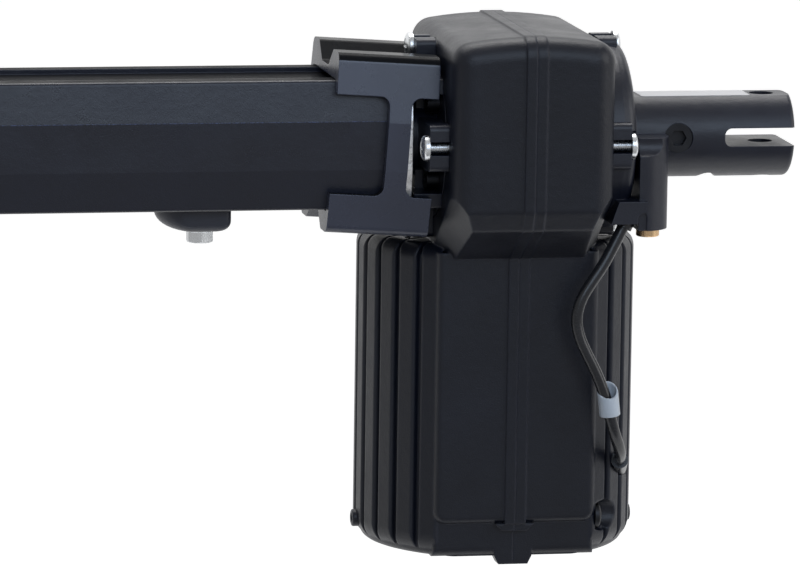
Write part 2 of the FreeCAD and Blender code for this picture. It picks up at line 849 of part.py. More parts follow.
def rear_casting():
    """The rear casting: bell over the clutch, lock column, cable pad and the round arm with its fork."""
    right = cover_right + bell_width
    bell = turned_x([(case_right, 0), (case_right, case_radius), (cover_right, case_radius),
                     (cover_right, bell_outer_radius), (cover_right + bell_width / 2, bell_outer_radius),
                     (right, bell_rim_radius, bell_edge_radius),
                     (right, bell_root_radius, bell_edge_radius / 2),
                     (right + arm_root_length, arm_radius), (right + arm_root_length, 0)])
    arm = rod_x(arm_radius, arm_start, fork_overhang)
    tip = [e for e in arm.Edges if abs(e.BoundBox.XMax - fork_overhang) < 1e-6 and e.BoundBox.XLength < 1e-6]
    arm = arm.makeFillet(fork_end_radius, tip).common(arm_trim())
    column = bar_z([(lock_column_left, lock_column_front),
                    (lock_column_right, lock_column_front, lock_column_radius),
                    (lock_column_right, lock_column_back), (lock_column_left, lock_column_back)],
                   -lock_column_drop, lock_column_top)
    pad = bar_y([(cable_pad_left, -cable_pad_top), (cable_pad_left - cable_pad_flare, -cable_pad_drop),
                 (cable_pad_right - cable_pad_taper, -cable_pad_drop), (cable_pad_right, -cable_pad_top)],
                cable_pad_front, cable_pad_back)
    lugs = forked_lugs(cover_right, cover_right + lug_thickness)
    casting = joined([bell, arm, column, pad] + lugs)
    casting = casting.cut(Part.makeCompound(casting_cuts(right)))
    return largest(casting.removeSplitter())


def casting_cuts(right):
    """Everything bored, milled or cored out of the rear casting."""
    reach = clutch_throw_radius + release_pin_radius + slide_clearance
    pin_room = rod_z(reach, -release_body_top, release_pin_top + slide_clearance, release_x, release_y)
    behind_axis = block((release_x - reach, release_x + reach), (release_y, release_y + reach),
                        (-release_body_top, release_pin_top + slide_clearance))
    cuts = [rod_x(case_bearing_radius, case_right, hub_right + dog_length / 2),
            rod_x(clutch_radius + slide_clearance, hub_right, chamber_end),
            rod_x(plug_radius + running_clearance, chamber_end, plug_end),
            rod_z(release_radius + running_clearance, -release_bottom, -release_body_top,
                  release_x, release_y),
            pin_room.common(behind_axis),
            rod_z(pivot_hole_radius, -2 * arm_radius, 2 * arm_radius),
            rod_y(set_screw_radius + running_clearance, -2 * arm_radius, 0, set_screw_x, 0)]
    root = fork_overhang - fork_gap_depth
    half_gap = fork_gap / 2
    cuts.append(bar_y([(root, -half_gap, fork_root_radius), (fork_overhang + half_gap, -half_gap),
                       (fork_overhang + half_gap, half_gap), (root, half_gap, fork_root_radius)],
                      -2 * arm_radius, 2 * arm_radius))
    notch_z = -arm_radius + arm_notch_depth - arm_notch_radius
    cuts.append(rod_y(arm_notch_radius, -2 * arm_radius, 2 * arm_radius, arm_notch_x, notch_z))
    slot = screw_shank_radius + slide_clearance
    recess = screw_head_radius + 2 * slide_clearance
    for i, (y, z) in enumerate(screw_places()):
        cuts.append(rod_x(recess, cover_right + lug_thickness, lock_column_right + recess, y, z))
        open_slot = block((cover_right, right), (screw_circle_radius, 2 * bell_outer_radius), (-slot, slot))
        open_slot.rotate(V(0, 0, 0), V(1, 0, 0), 90 * i)
        cuts.append(open_slot)
        cuts.append(rod_x(slot, cover_right, right, y, z))
    start, inward = cable_end(0)
    cuts.append(Part.makeCylinder(cable_radius + slide_clearance, 2 * grommet_radius, start, inward))
    arch_y = (cable_pad_front, cable_pad_front + cable_arch_depth)
    cuts.append(rod_y(cable_arch_radius, *arch_y, cable_arch_x, -cable_arch_drop))
    cuts.append(block((cable_arch_x - cable_arch_radius, cable_arch_x + cable_arch_radius), arch_y,
                      (-lock_column_drop, -cable_arch_drop)))
    return cuts


def arm_set_screw():
    """The hexagon-socket set screw that locks the thrust plug in the arm."""
    outer = -arm_radius + set_screw_sunk
    screw = rod_y(set_screw_radius, outer, -plug_radius - seat_clearance, set_screw_x, 0)
    return screw.cut(bar_y(hexagon(set_screw_socket, set_screw_x, 0), outer, outer + set_screw_socket_depth))


def thrust_plug():
    """The plain bearing that carries the lead screw's tail in the arm."""
    plug = rod_x(plug_radius, chamber_end, plug_end)
    return plug.cut(rod_x(screw_tail_radius + running_clearance, chamber_end, plug_end - plug_wall))


def lead_screw():
    """The lead screw with its journals. The thread is a plain cylinder over its crests."""
    key = rod_x(screw_key_radius, shaft_right, chamber_end)
    key = key.common(block((shaft_right, chamber_end), (-screw_key_flat, screw_key_flat),
                           (-screw_key_radius, screw_key_radius)))
    return joined([
        rod_x(screw_front_radius, tube_left + seat_clearance, tube_left + end_cap_spigot + mesh_clearance),
        rod_x(screw_radius, tube_left + end_cap_spigot + mesh_clearance, flange_left - tube_wall),
        rod_x(screw_shaft_radius, flange_left - tube_wall, shaft_right),
        key,
        rod_x(screw_tail_radius, chamber_end, plug_end - plug_wall - mesh_clearance)])


def ring(outer, inner, start, end):
    return rod_x(outer, start, end).cut(rod_x(inner, start, end))


def wheel_bearings():
    """The two ring bearings that carry the wheel's hub in the gear case."""
    gap = case_chamber_width / 2 + mesh_clearance
    left = -pivot_to_motor - gap
    right = -pivot_to_motor + gap
    inner = hub_radius + running_clearance
    return [ring(case_bearing_radius, inner, left - bearing_width, left),
            ring(case_bearing_radius, inner, right, right + bearing_width)]


def dog_sector(half_angle, start, end, outer, inner):
    """A ring sector about the drive line, centred on the upward direction."""
    reach = 2 * outer
    wide = reach * math.tan(math.radians(half_angle))
    wedge = bar_x([(0, 0), (wide, reach), (-wide, reach)], start, end)
    return ring(outer, inner, start, end).common(wedge)


def two_dogs(half_angle, start, end, outer, inner):
    upper = dog_sector(half_angle, start, end, outer, inner)
    lower = upper.copy()
    lower.rotate(V(0, 0, 0), V(1, 0, 0), 180)
    return [upper, lower]


def wheel_hub():
    """The sleeve that carries the worm wheel, with two dog slots at its clutch end."""
    hub = ring(hub_radius, screw_shaft_radius + running_clearance, hub_left, hub_right)
    slot_start = hub_right - dog_length - 2 * mesh_clearance
    half_angle = dog_half_angle + dog_side_clearance
    slot = two_dogs(half_angle, slot_start, hub_right, 2 * hub_radius, screw_key_radius)
    return hub.cut(Part.makeCompound(slot))


def worm_wheel():
    """The worm wheel: straight-flanked teeth at the pitch of the worm, on a plain rim."""
    pitch = 2 * math.pi / wheel_teeth
    start = -pivot_to_motor - wheel_width / 2
    corners = []
    for i in range(wheel_teeth):
        for share, radius in ((-tooth_root_share, wheel_root_radius), (-tooth_tip_share, wheel_tip_radius),
                              (tooth_tip_share, wheel_tip_radius), (tooth_root_share, wheel_root_radius)):
            turn = (i + share) * pitch
            corners.append((radius * math.sin(turn), radius * math.cos(turn)))
    return bar_x(corners, start, start + wheel_width).cut(
        rod_x(hub_radius + running_clearance, start, start + wheel_width))


def clutch_collar():
    """The sliding clutch collar: shift groove, keyed bore and two dogs."""
    collar = turned_x([(clutch_left, 0), (clutch_left, clutch_radius),
                       (clutch_groove_x - clutch_groove_width / 2, clutch_radius),
                       (clutch_groove_x - clutch_groove_width / 2, clutch_groove_radius),
                       (clutch_groove_x + clutch_groove_width / 2, clutch_groove_radius),
                       (clutch_groove_x + clutch_groove_width / 2, clutch_radius),
                       (clutch_right, clutch_radius), (clutch_right, 0)])
    dogs = two_dogs(dog_half_angle, clutch_left - dog_length, clutch_left,
                    hub_radius - running_clearance, screw_shaft_radius + mesh_clearance)
    collar = joined([collar] + dogs)
    bore = rod_x(screw_key_radius + running_clearance, clutch_left, clutch_right)
    flat = screw_key_flat + running_clearance
    return collar.cut(bore.common(block((clutch_left, clutch_right), (-flat, flat),
                                        (-clutch_radius, clutch_radius))))


def release_spindle():
    """The key-turned release spindle with its eccentric pin in the collar's groove."""
    body = rod_z(release_radius, -release_bottom, -release_body_top, release_x, release_y)
    body = body.cut(bar_z(hexagon(release_key_across, release_x, release_y), -release_bottom,
                          release_key_depth - release_bottom))
    pin = rod_z(release_pin_radius, -release_body_top, release_pin_top, clutch_groove_x,
                release_y + clutch_half_throw)
    return body.fuse(pin).removeSplitter()


def worm_shaft():
    """The motor shaft with its worm. The worm's thread is left as its root cylinder."""
    x, y = -pivot_to_motor, worm_centre_distance
    shaft = rod_z(worm_shaft_radius, motor_wall + running_clearance - motor_bottom, worm_shaft_top, x, y)
    worm = rod_z(worm_core_radius, -worm_core_length / 2, worm_core_length / 2, x, y)
    return shaft.fuse(worm).removeSplitter()


def worm_bushes():
    bushes = []
    top = tunnel_top - tunnel_cap
    for start in (top - bush_length, -lower_bush_top - bush_length):
        outer = rod_z(tunnel_bore_radius - running_clearance, start, start + bush_length,
                      -pivot_to_motor, worm_centre_distance)
        bushes.append(outer.cut(rod_z(worm_shaft_radius + running_clearance, start, start + bush_length,
                                      -pivot_to_motor, worm_centre_distance)))
    return bushes


def motor_can():
    """The motor's drawn steel can, open at the top."""
    x, y = -pivot_to_motor, worm_centre_distance
    can = rod_z(motor_radius, -motor_bottom, -motor_can_top, x, y)
    return can.cut(rod_z(motor_radius - motor_wall, motor_wall - motor_bottom, -motor_can_top, x, y))


def motor_end_plate():
    x, y = -pivot_to_motor, worm_centre_distance
    plate = rod_z(motor_radius, -motor_can_top, -motor_plate_top, x, y)
    plate = plate.cut(rod_z(worm_shaft_radius + slide_clearance, -motor_can_top, -motor_plate_top, x, y))
    for sx, sy in motor_screw_places():
        hole = rod_z(screw_shank_radius + seat_clearance, -motor_can_top, -motor_plate_top, sx, sy)
        plate = plate.cut(hole)
    return plate


def motor_magnets():
    """Two curved magnets inside the motor's can."""
    x, y = -pivot_to_motor, worm_centre_distance
    outer = motor_radius - motor_wall - running_clearance
    magnets = []
    for middle in (0, 180):
        turn = math.radians(middle - magnet_angle / 2)
        start = V(math.cos(turn), math.sin(turn), 0)
        low = V(x, y, -rotor_top - rotor_length)
        inner_edge = low + start * (outer - magnet_thickness)
        outer_edge = low + start * outer
        strip = Part.makeLine(inner_edge, outer_edge).extrude(V(0, 0, rotor_length))
        magnets.append(strip.revolve(V(x, y, 0), V(0, 0, 1), magnet_angle))
    return magnets


def motor_rotor():
    x, y = -pivot_to_motor, worm_centre_distance
    rotor = rod_z(rotor_radius, -rotor_top - rotor_length, -rotor_top, x, y)
    bore = worm_shaft_radius + running_clearance
    return rotor.cut(rod_z(bore, -rotor_top - rotor_length, -rotor_top, x, y))


def traveller_carriage():
    """The carriage on the lead screw, its neck through the tube's slot and the pin block below the tube."""
    x = traveller_x
    half = carriage_length / 2
    wide = carriage_half_width
    high = carriage_half_height
    upper = carriage_top_radius
    lower = carriage_bottom_radius
    body = bar_x([(-wide, -high, lower), (-wide, high, upper), (wide, high, upper), (wide, -high, lower)],
                 x - half, x + half)
    neck_half = tube_slot_width / 2 - neck_clearance
    neck = block((x - neck_length / 2, x + neck_length / 2), (-neck_half, neck_half), (-pin_block_top, -high))
    long = pin_block_length / 2
    deep = pin_block_half_width
    corner = pin_block_radius
    foot = bar_z([(x - long, -deep, corner), (x + long, -deep, corner), (x + long, deep, corner),
                  (x - long, deep, corner)], -pin_block_bottom, -pin_block_top)
    carriage = joined([body, neck, foot])
    carriage = carriage.cut(rod_x(screw_radius + slide_clearance, x - half, x + half))
    nut_bore = nut_radius + seat_clearance
    carriage = carriage.cut(rod_x(nut_bore, x - half, x - half + nut_body_length + seat_clearance))
    seat = pin_seat_radius + running_clearance
    return carriage.cut(rod_z(seat, -pin_block_bottom, pin_seat_depth - pin_block_bottom, x, 0))


def drive_nut():
    """The nut that rides on the lead screw, with a flange on the carriage's end."""
    left = traveller_x - carriage_length / 2
    nut = rod_x(nut_radius, left, left + nut_body_length)
    nut = nut.fuse(rod_x(nut_flange_radius, left - nut_flange_thickness, left)).removeSplitter()
    bore = screw_radius + running_clearance
    return nut.cut(rod_x(bore, left - nut_flange_thickness, left + nut_body_length))


def glide_pads():
    """Four sliding pads between the carriage's sides and the tube's inner walls."""
    outer = tube_crease_half_width - tube_wall - mesh_clearance
    half = pad_height / 2
    pads = []
    for side in (-1, 1):
        for end in (-1, 1):
            centre = traveller_x + end * (carriage_length - pad_length) / 2
            y = sorted((side * carriage_half_width, side * outer))
            pads.append(block((centre - pad_length / 2, centre + pad_length / 2), y, (-half, half)))
    return pads


def front_pivot_pin():
    """The upright pin under the traveller that takes the gate bracket, with a retaining-ring groove."""
    tip = pin_block_bottom + pin_reach
    relief_low = -pin_block_bottom - pin_relief_width
    pin = rod_z(pin_radius, -tip, relief_low, traveller_x, 0)
    pin = pin.makeFillet(pin_tip_radius, [e for e in pin.Edges if abs(e.BoundBox.ZMax + tip) < 1e-6])
    seat_top = pin_seat_depth - pin_block_bottom
    pin = joined([pin, rod_z(pin_relief_radius, relief_low, -pin_block_bottom, traveller_x, 0),
                  rod_z(pin_seat_radius, -pin_block_bottom, seat_top, traveller_x, 0)])
    groove_top = pin_groove_from_tip + pin_groove_width - tip
    groove = rod_z(2 * pin_radius, pin_groove_from_tip - tip, groove_top, traveller_x, 0)
    core = rod_z(pin_groove_radius, pin_groove_from_tip - tip, groove_top, traveller_x, 0)
    return pin.cut(groove.cut(core))


def stop_block(x, way):
    """A stop under the tube with a round nose towards the traveller; way is the nose's direction along X."""
    tail = x - way * stop_tail_reach
    nose = x + way * stop_nose_reach
    wide = stop_half_width
    round_start = nose - way * wide
    lower = Part.Wire([
        Part.makeLine(V(tail, -wide, -stop_bottom), V(round_start, -wide, -stop_bottom)),
        Part.Arc(V(round_start, -wide, -stop_bottom), V(nose, 0, -stop_bottom),
                 V(round_start, wide, -stop_bottom)).toShape(),
        Part.makeLine(V(round_start, wide, -stop_bottom), V(tail, wide, -stop_bottom)),
        Part.makeLine(V(tail, wide, -stop_bottom), V(tail, -wide, -stop_bottom))])
    stop = Part.Face(lower).extrude(V(0, 0, stop_bottom - stop_top))
    low = [e for e in stop.Edges if abs(e.BoundBox.ZMax + stop_bottom) < 1e-6]
    side = [e for e in low if abs(e.BoundBox.XMin - tail) > 1e-6 or e.BoundBox.XLength > 1e-6]
    stop = stop.makeFillet(stop_edge_radius, side)
    return stop.cut(rod_z(stop_bolt_radius + seat_clearance, -stop_bottom, -stop_top, x, 0))


def stop_bolt(x):
    """A hexagon-head bolt up through the stop into its clamping nut, with a washer face under the head."""
    head_bottom = stop_bottom + stop_washer_thickness + stop_bolt_head
    washer = rod_z(stop_washer_radius, -stop_bottom - stop_washer_thickness, -stop_bottom, x, 0)
    head = bar_z(hexagon(stop_bolt_across, x, 0), -head_bottom, -stop_bottom - stop_washer_thickness)
    shank = rod_z(stop_bolt_radius, -stop_bottom, stop_nut_thickness - tube_half_height + tube_wall, x, 0)
    return joined([washer, head, shank])


def stop_nut(x):
    """The flat nut inside the tube that clamps a stop to the slot's edges."""
    low = -tube_half_height + tube_wall + mesh_clearance
    half = stop_nut_length / 2
    nut_y = (-stop_nut_half_width, stop_nut_half_width)
    nut = block((x - half, x + half), nut_y, (low, low + stop_nut_thickness))
    return nut.cut(rod_z(stop_bolt_radius + seat_clearance, low, low + stop_nut_thickness, x, 0))


def cable_wire():
    """The cable's centre line: straight runs joined by tangent arcs. Prints the radius of each arc."""
    points = [V(*p) for p in cable_route]
    edges = []
    start = points[0]
    for before, here, after in zip(points, points[1:], points[2:]):
        back = (before - here)
        ahead = (after - here)
        reach = cable_arc_share * min(back.Length, ahead.Length)
        back = back.normalize()
        ahead = ahead.normalize()
        half_turn = (math.pi - back.getAngle(ahead)) / 2
        radius = reach / math.tan(half_turn)
        print(f"cable bend radius {radius:.1f}")
        inward = (back + ahead).normalize()
        middle = here + inward * (radius / math.cos(half_turn) - radius)
        edges.append(Part.LineSegment(start, here + back * reach).toShape())
        edges.append(Part.Arc(here + back * reach, middle, here + ahead * reach).toShape())
        start = here + ahead * reach
    edges.append(Part.LineSegment(start, points[-1]).toShape())
    return Part.Wire(edges)


def motor_cable():
    """The round cable swept along its centre line."""
    line = cable_wire()
    start = V(*cable_route[0])
    way = V(*cable_route[1]) - start
    ring_wire = Part.Wire(Part.makeCircle(cable_radius, start, way))
    cable = line.makePipeShell([ring_wire], True, True)
    section = math.pi * cable_radius ** 2
    print(f"cable volume {cable.Volume:.0f}, section by length {section * line.Length:.0f}")
    print(f"cable length {line.Length:.1f}")
    return cable


def cable_sleeve():
    """The marker sleeve on the cable, along one run of its route."""
    here = V(*cable_route[sleeve_run])
    after = V(*cable_route[sleeve_run + 1])
    way = (after - here).normalize()
    start = (here + after) * 0.5 - way * (sleeve_length / 2)
    sleeve = Part.makeCylinder(sleeve_radius, sleeve_length, start, way)
    return sleeve.cut(Part.makeCylinder(sleeve_radius - sleeve_wall, sleeve_length, start, way))


def cable_end(index):
    """The cable's first or last point and the way on from there into the object."""
    here = V(*cable_route[index])
    beside = V(*cable_route[1 if index == 0 else index - 1])
    return here, (here - beside).normalize()


def exit_grommet():
    """The grommet that the cable leaves the rear casting's pad through, flush with the pad's underside."""
    start, inward = cable_end(0)
    grommet = Part.makeCylinder(grommet_radius, grommet_length, start, inward)
    box = grommet.BoundBox
    under = block((box.XMin, box.XMax), (box.YMin, box.YMax), (box.ZMin, -cable_pad_drop))
    return grommet.common(under)


def entry_grommet():
    """The grommet that takes the cable into the motor's cover."""
    start, inward = cable_end(-1)
    return Part.makeCylinder(grommet_radius, grommet_length, start, inward)


def save_all():
    os.makedirs("parts", exist_ok=True)
    save("tube_profile", tube_profile())
    save("front_end_cap", front_end_cap())
    save("end_cap_screws", *end_cap_screws())
    save("front_screw_bush", front_screw_bush())
    save("joint_saddle", joint_saddle())
    save("front_flange", front_flange())
    save("flange_screws", *flange_screws())
    save("gear_case", gear_case())
    left, right = cover_halves()
    save("left_cover", largest(left))
    save("right_cover", largest(right))
    save("left_cover_screws", *side_screws(cover_left - lug_thickness, 1))
    save("right_cover_screws", *side_screws(cover_right + lug_thickness, -1))
    save("lower_cover_screws", *lower_cover_screws())
    save("rear_casting", rear_casting())
    save("arm_set_screw", arm_set_screw())
    save("thrust_plug", thrust_plug())
    save("wheel_bearings", *wheel_bearings())
    save("worm_bushes", *worm_bushes())
    save("motor_can", motor_can())
    save("motor_end_plate", motor_end_plate())
    save("motor_screws", *motor_screws())
    save("motor_magnets", *motor_magnets())
    save("lead_screw", lead_screw())
    save("wheel_hub", wheel_hub())
    save("worm_wheel", worm_wheel())
    save("clutch_collar", clutch_collar())
    save("release_spindle", release_spindle())
    save("worm_shaft", worm_shaft())
    save("motor_rotor", motor_rotor())
    save("traveller_carriage", traveller_carriage())
    save("drive_nut", drive_nut())
    save("glide_pads", *glide_pads())
    save("front_pivot_pin", front_pivot_pin())
    for name, x, way in (("rear", rear_stop_x, -1), ("front", front_stop_x, 1)):
        save(f"{name}_stop_block", stop_block(x, way))
        save(f"{name}_stop_bolt", stop_bolt(x))
        save(f"{name}_stop_nut", stop_nut(x))
    save("exit_grommet", exit_grommet())
    save("entry_grommet", entry_grommet())
    save("motor_cable", motor_cable())
    save("cable_sleeve", cable_sleeve())


save_all()
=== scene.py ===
import json
import math

import bmesh
import bpy
from mathutils import Matrix, Vector


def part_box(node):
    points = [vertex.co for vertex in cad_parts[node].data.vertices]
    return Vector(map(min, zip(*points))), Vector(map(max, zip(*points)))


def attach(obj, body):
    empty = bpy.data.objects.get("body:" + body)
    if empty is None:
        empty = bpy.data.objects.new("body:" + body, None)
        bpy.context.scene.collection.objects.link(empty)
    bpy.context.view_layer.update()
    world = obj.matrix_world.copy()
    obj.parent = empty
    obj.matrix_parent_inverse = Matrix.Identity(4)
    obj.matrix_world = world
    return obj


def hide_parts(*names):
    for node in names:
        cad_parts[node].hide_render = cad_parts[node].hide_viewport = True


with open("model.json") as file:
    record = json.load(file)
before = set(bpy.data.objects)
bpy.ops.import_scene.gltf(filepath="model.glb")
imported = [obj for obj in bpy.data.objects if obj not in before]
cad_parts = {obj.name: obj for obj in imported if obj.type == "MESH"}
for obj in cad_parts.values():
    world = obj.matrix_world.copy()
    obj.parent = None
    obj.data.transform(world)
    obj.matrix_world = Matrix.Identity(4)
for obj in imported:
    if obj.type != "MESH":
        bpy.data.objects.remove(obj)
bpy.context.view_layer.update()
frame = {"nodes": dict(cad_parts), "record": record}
nodes = frame["nodes"]
scene = bpy.context.scene

# Camera: where it stands in metres, its turn to the right, tilt down and roll, and its lens
camera_place = (-0.66792, -2.66779, 0.37521)
camera_yaw = math.radians(10.995)
camera_pitch = math.radians(9.120)
camera_roll = math.radians(0.83)
focal_pixels = 6751.0
image_width = 800
sensor_width = 36.0
view_depth = 100.0

# Lamps: place and size in metres, power in watts, and colour. All of them face one place
lamp_target = (-0.2, 0.0, -0.05)
lamps = {
    "top_lamp": ((-0.3, 0.8, 2.2), (2.4, 1.2), 44.0, (1.0, 0.99, 0.98)),
    "front_lamp": ((0.0, -2.9, 1.25), (3.0, 1.4), 28.0, (0.64, 0.79, 1.0)),
    "right_lamp": ((1.7, -0.9, 0.6), (1.2, 1.6), 12.0, (1.0, 1.0, 1.0)),
}

# Sky: its strength as light and to the camera. In reflections it is darker low down, between two
# heights of the ray's direction
sky_light = 0.14
sky_seen = 1.0
sky_low_height = -0.90
sky_high_height = -0.50
sky_low_mirrored = 0.14
sky_high_mirrored = 0.42

# Stage, in metres, with its greys and its glow to the camera and in reflections
floor_level = -0.9
floor_front = -0.4
stage_half_width = 40.0
stage_back = 16.0
backdrop_top = 26.0
ground_scale = 3.0
ground_dark = 0.64
ground_pale = 0.66
ground_rough = 0.9
ground_specular = 0.1
ground_glow = 0.92
floor_shine = 0.58
backdrop_shine = 0.92

# Meshes: the angle from which an edge is sharp, and lengths in metres below which points merge
sharp_angle = math.radians(35)
merge_distance = 1e-7
sliver_length = 1e-8

# Threads, in pitches: where the root ends and the crest starts and ends, and a fastener's depth
root_end = 0.3
crest_start = 0.5
crest_end = 0.8
thread_depth = 0.6

# Domed screws, in metres. The first ring lies a share of a ring's step from the middle
head_radius = 0.0052
head_height = 0.0032
head_side = 0.0014
shank_radius = 0.0024
shank_pitch = 0.0008
shank_steps = 16
cross_reach = 0.0027
cross_half_width = 0.00062
cross_wall = 0.00022
cross_depth = 0.0017
cross_slope = 0.42
head_first_ring = 0.35
head_rings = 22
head_steps = 96

# Lead screw, in metres along the drive line
screw_crest = 0.009
screw_root = 0.0076
screw_pitch = 0.005
screw_starts = 2
screw_steps = 36
front_journal_radius = 0.006
front_journal_length = 0.01215
thread_end = -0.1524
plain_radius = 0.0075
plain_end = -0.06113
key_radius = 0.006
key_flat = 0.0045
key_end = -0.0425
key_steps = 96
tail_radius = 0.005
journal_steps = 48

# Stop bolts, in metres. The flat is a share of the half width, and the centre a share of the flat
bolt_across = 0.010
bolt_flat_share = 0.94
bolt_centre_share = 0.2
bolt_shank_radius = 0.003
bolt_pitch = 0.001
bolt_thread_steps = 20
bolt_head_height = 0.0046
washer_radius = 0.0062
washer_height = 0.001
washer_rim_share = 0.25
hexagon_steps = 48
chamfer_slope = math.tan(math.radians(30))

# Brass rim at the lower end of the release, in metres
release_place = (-0.050, -0.015)
rim_outer = 0.00475
rim_inner = 0.0037
rim_top = -0.0388
rim_bottom = -0.0403
rim_chamfer = 0.0004
rim_steps = 64

# Travel stops, in metres
stop_nose_length = 0.0114
stop_nose_height = 0.0080
stop_edge = 0.0045
stop_corner = 0.003
stop_steps = 32
stop_corner_steps = 8
stop_levels = 10

# Round lugs on the cover's sides, in metres. They start and end at these distances from the axis
lug_axis = (-0.1045, 0.028)
lug_height = -0.1632
lug_radius = 0.0036
lug_start = 0.0530
lug_end = 0.0588
lug_rim = 0.0007
lug_rim_share = 0.3
lug_dimple = 0.0021
lug_dimple_share = 0.5
lug_steps = 48

# Plain sticker on the arm's flat top, in metres
sticker_left = -0.0520
sticker_right = -0.0063
sticker_half_width = 0.0079
sticker_thickness = 0.00012
sticker_corner = 0.0012
sticker_steps = 32
arm_top = 0.016

# Marker sleeve on the cable, in metres
sleeve_radius = 0.0043
sleeve_wall = 0.0008
sleeve_front_height = 0.0075
sleeve_back_height = 0.0135
sleeve_bottom = -0.1113
sleeve_lean = 0.45
sleeve_steps = 48

# Motor cable: its control points, diameter and length in metres, and its smoothness
cable_route = [
    (-0.0636, -0.0290, -0.0346),
    (-0.0676, -0.0299, -0.0422),
    (-0.0718, -0.0310, -0.0496),
    (-0.0768, -0.0320, -0.0564),
    (-0.0812, -0.0326, -0.0632),
    (-0.0832, -0.0328, -0.0710),
    (-0.0816, -0.0329, -0.0790),
    (-0.0780, -0.0329, -0.0864),
    (-0.0740, -0.0327, -0.0940),
    (-0.0707, -0.0324, -0.1022),
    (-0.0682, -0.0318, -0.1108),
    (-0.0657, -0.0296, -0.1188),
    (-0.0626, -0.0250, -0.1254),
    (-0.0602, -0.0186, -0.1304),
    (-0.0589, -0.0110, -0.1338),
]
cable_diameter = 0.0048
cable_order = 3
cable_resolution = 12
cable_section_resolution = 6

# Coats of paint or plastic: noise in cells per metre, and a coarse grain beside the fine one
drift_scale = 14.0
gloss_scale = 60.0
wear_and_highlight_scale = 260.0
coarse_size = 6
coarse_depth = 2
bevel_samples = 6

# Metals: noise in cells per metre, depths in metres, and how far the colour drifts
metal_drift_scale = 90.0
metal_drift = 0.12
mark_scale = 900.0
mark_depth = 0.00003
metal_edge = 0.0003

# Cable's rubber: noise in cells per metre, and the depth of its skin in metres
rubber_drift_scale = 120.0
rubber_skin_scale = 1500.0
rubber_skin_depth = 0.00003

# Paint on the tube: its painted highlight line along the crease and its bare sawn end in metres,
# noise in cells per metre
tube_crease = 0.0098
crease_half_width = 0.00016
crease_highlight_gain = 9.0
crease_dot_scale = 1400.0
bare_end = -0.1522
bare_ragged = 0.0012
bare_ragged_scale = 700.0
bare_patch_scale = 500.0
bare_dark = (0.45, 0.45, 0.46)
bare_bright = (0.92, 0.92, 0.93)
line_scale = 420.0
line_stretch = (0.01, 1.0, 1.0)
line_depth = 0.00005

# Tops of tube and saddle: their painted shade colour, the least height of a normal there, and
# specular levels
# Painted shade: the black that faces which face up take on the tube and the saddle.
up_facing_painted_shade = (0.0105, 0.0110, 0.0130)
tube_top_least = 0.97
tube_top_edge = 0.0007
tube_specular = 0.55
tube_top_specular = 0.006
saddle_top_least = 0.3
saddle_specular = 0.68
saddle_top_specular = 0.05


def add_camera():
    """The camera at the photograph's viewing angle."""
    data = bpy.data.cameras.new("camera")
    data.sensor_width = sensor_width
    data.lens = focal_pixels / image_width * sensor_width
    data.clip_end = view_depth
    camera = bpy.data.objects.new("camera", data)
    scene.collection.objects.link(camera)
    turn = (Matrix.Rotation(-camera_yaw, 4, "Z")
            @ Matrix.Rotation(math.pi / 2 - camera_pitch, 4, "X")
            @ Matrix.Rotation(camera_roll, 4, "Z"))
    camera.matrix_world = Matrix.Translation(camera_place) @ turn
    scene.camera = camera


def add_lights():
    """Plain soft studio light: a wide lamp above, a bluish one in front and one from the right."""
    for name, (place, size, power, colour) in lamps.items():
        data = bpy.data.lights.new(name, "AREA")
        data.shape = "RECTANGLE"
        data.size, data.size_y = size
        data.energy = power
        data.color = colour
        lamp = bpy.data.objects.new(name, data)
        scene.collection.objects.link(lamp)
        way = Vector(lamp_target) - Vector(place)
        turn = way.to_track_quat("-Z", "Y").to_matrix().to_4x4()
        lamp.matrix_world = Matrix.Translation(place) @ turn


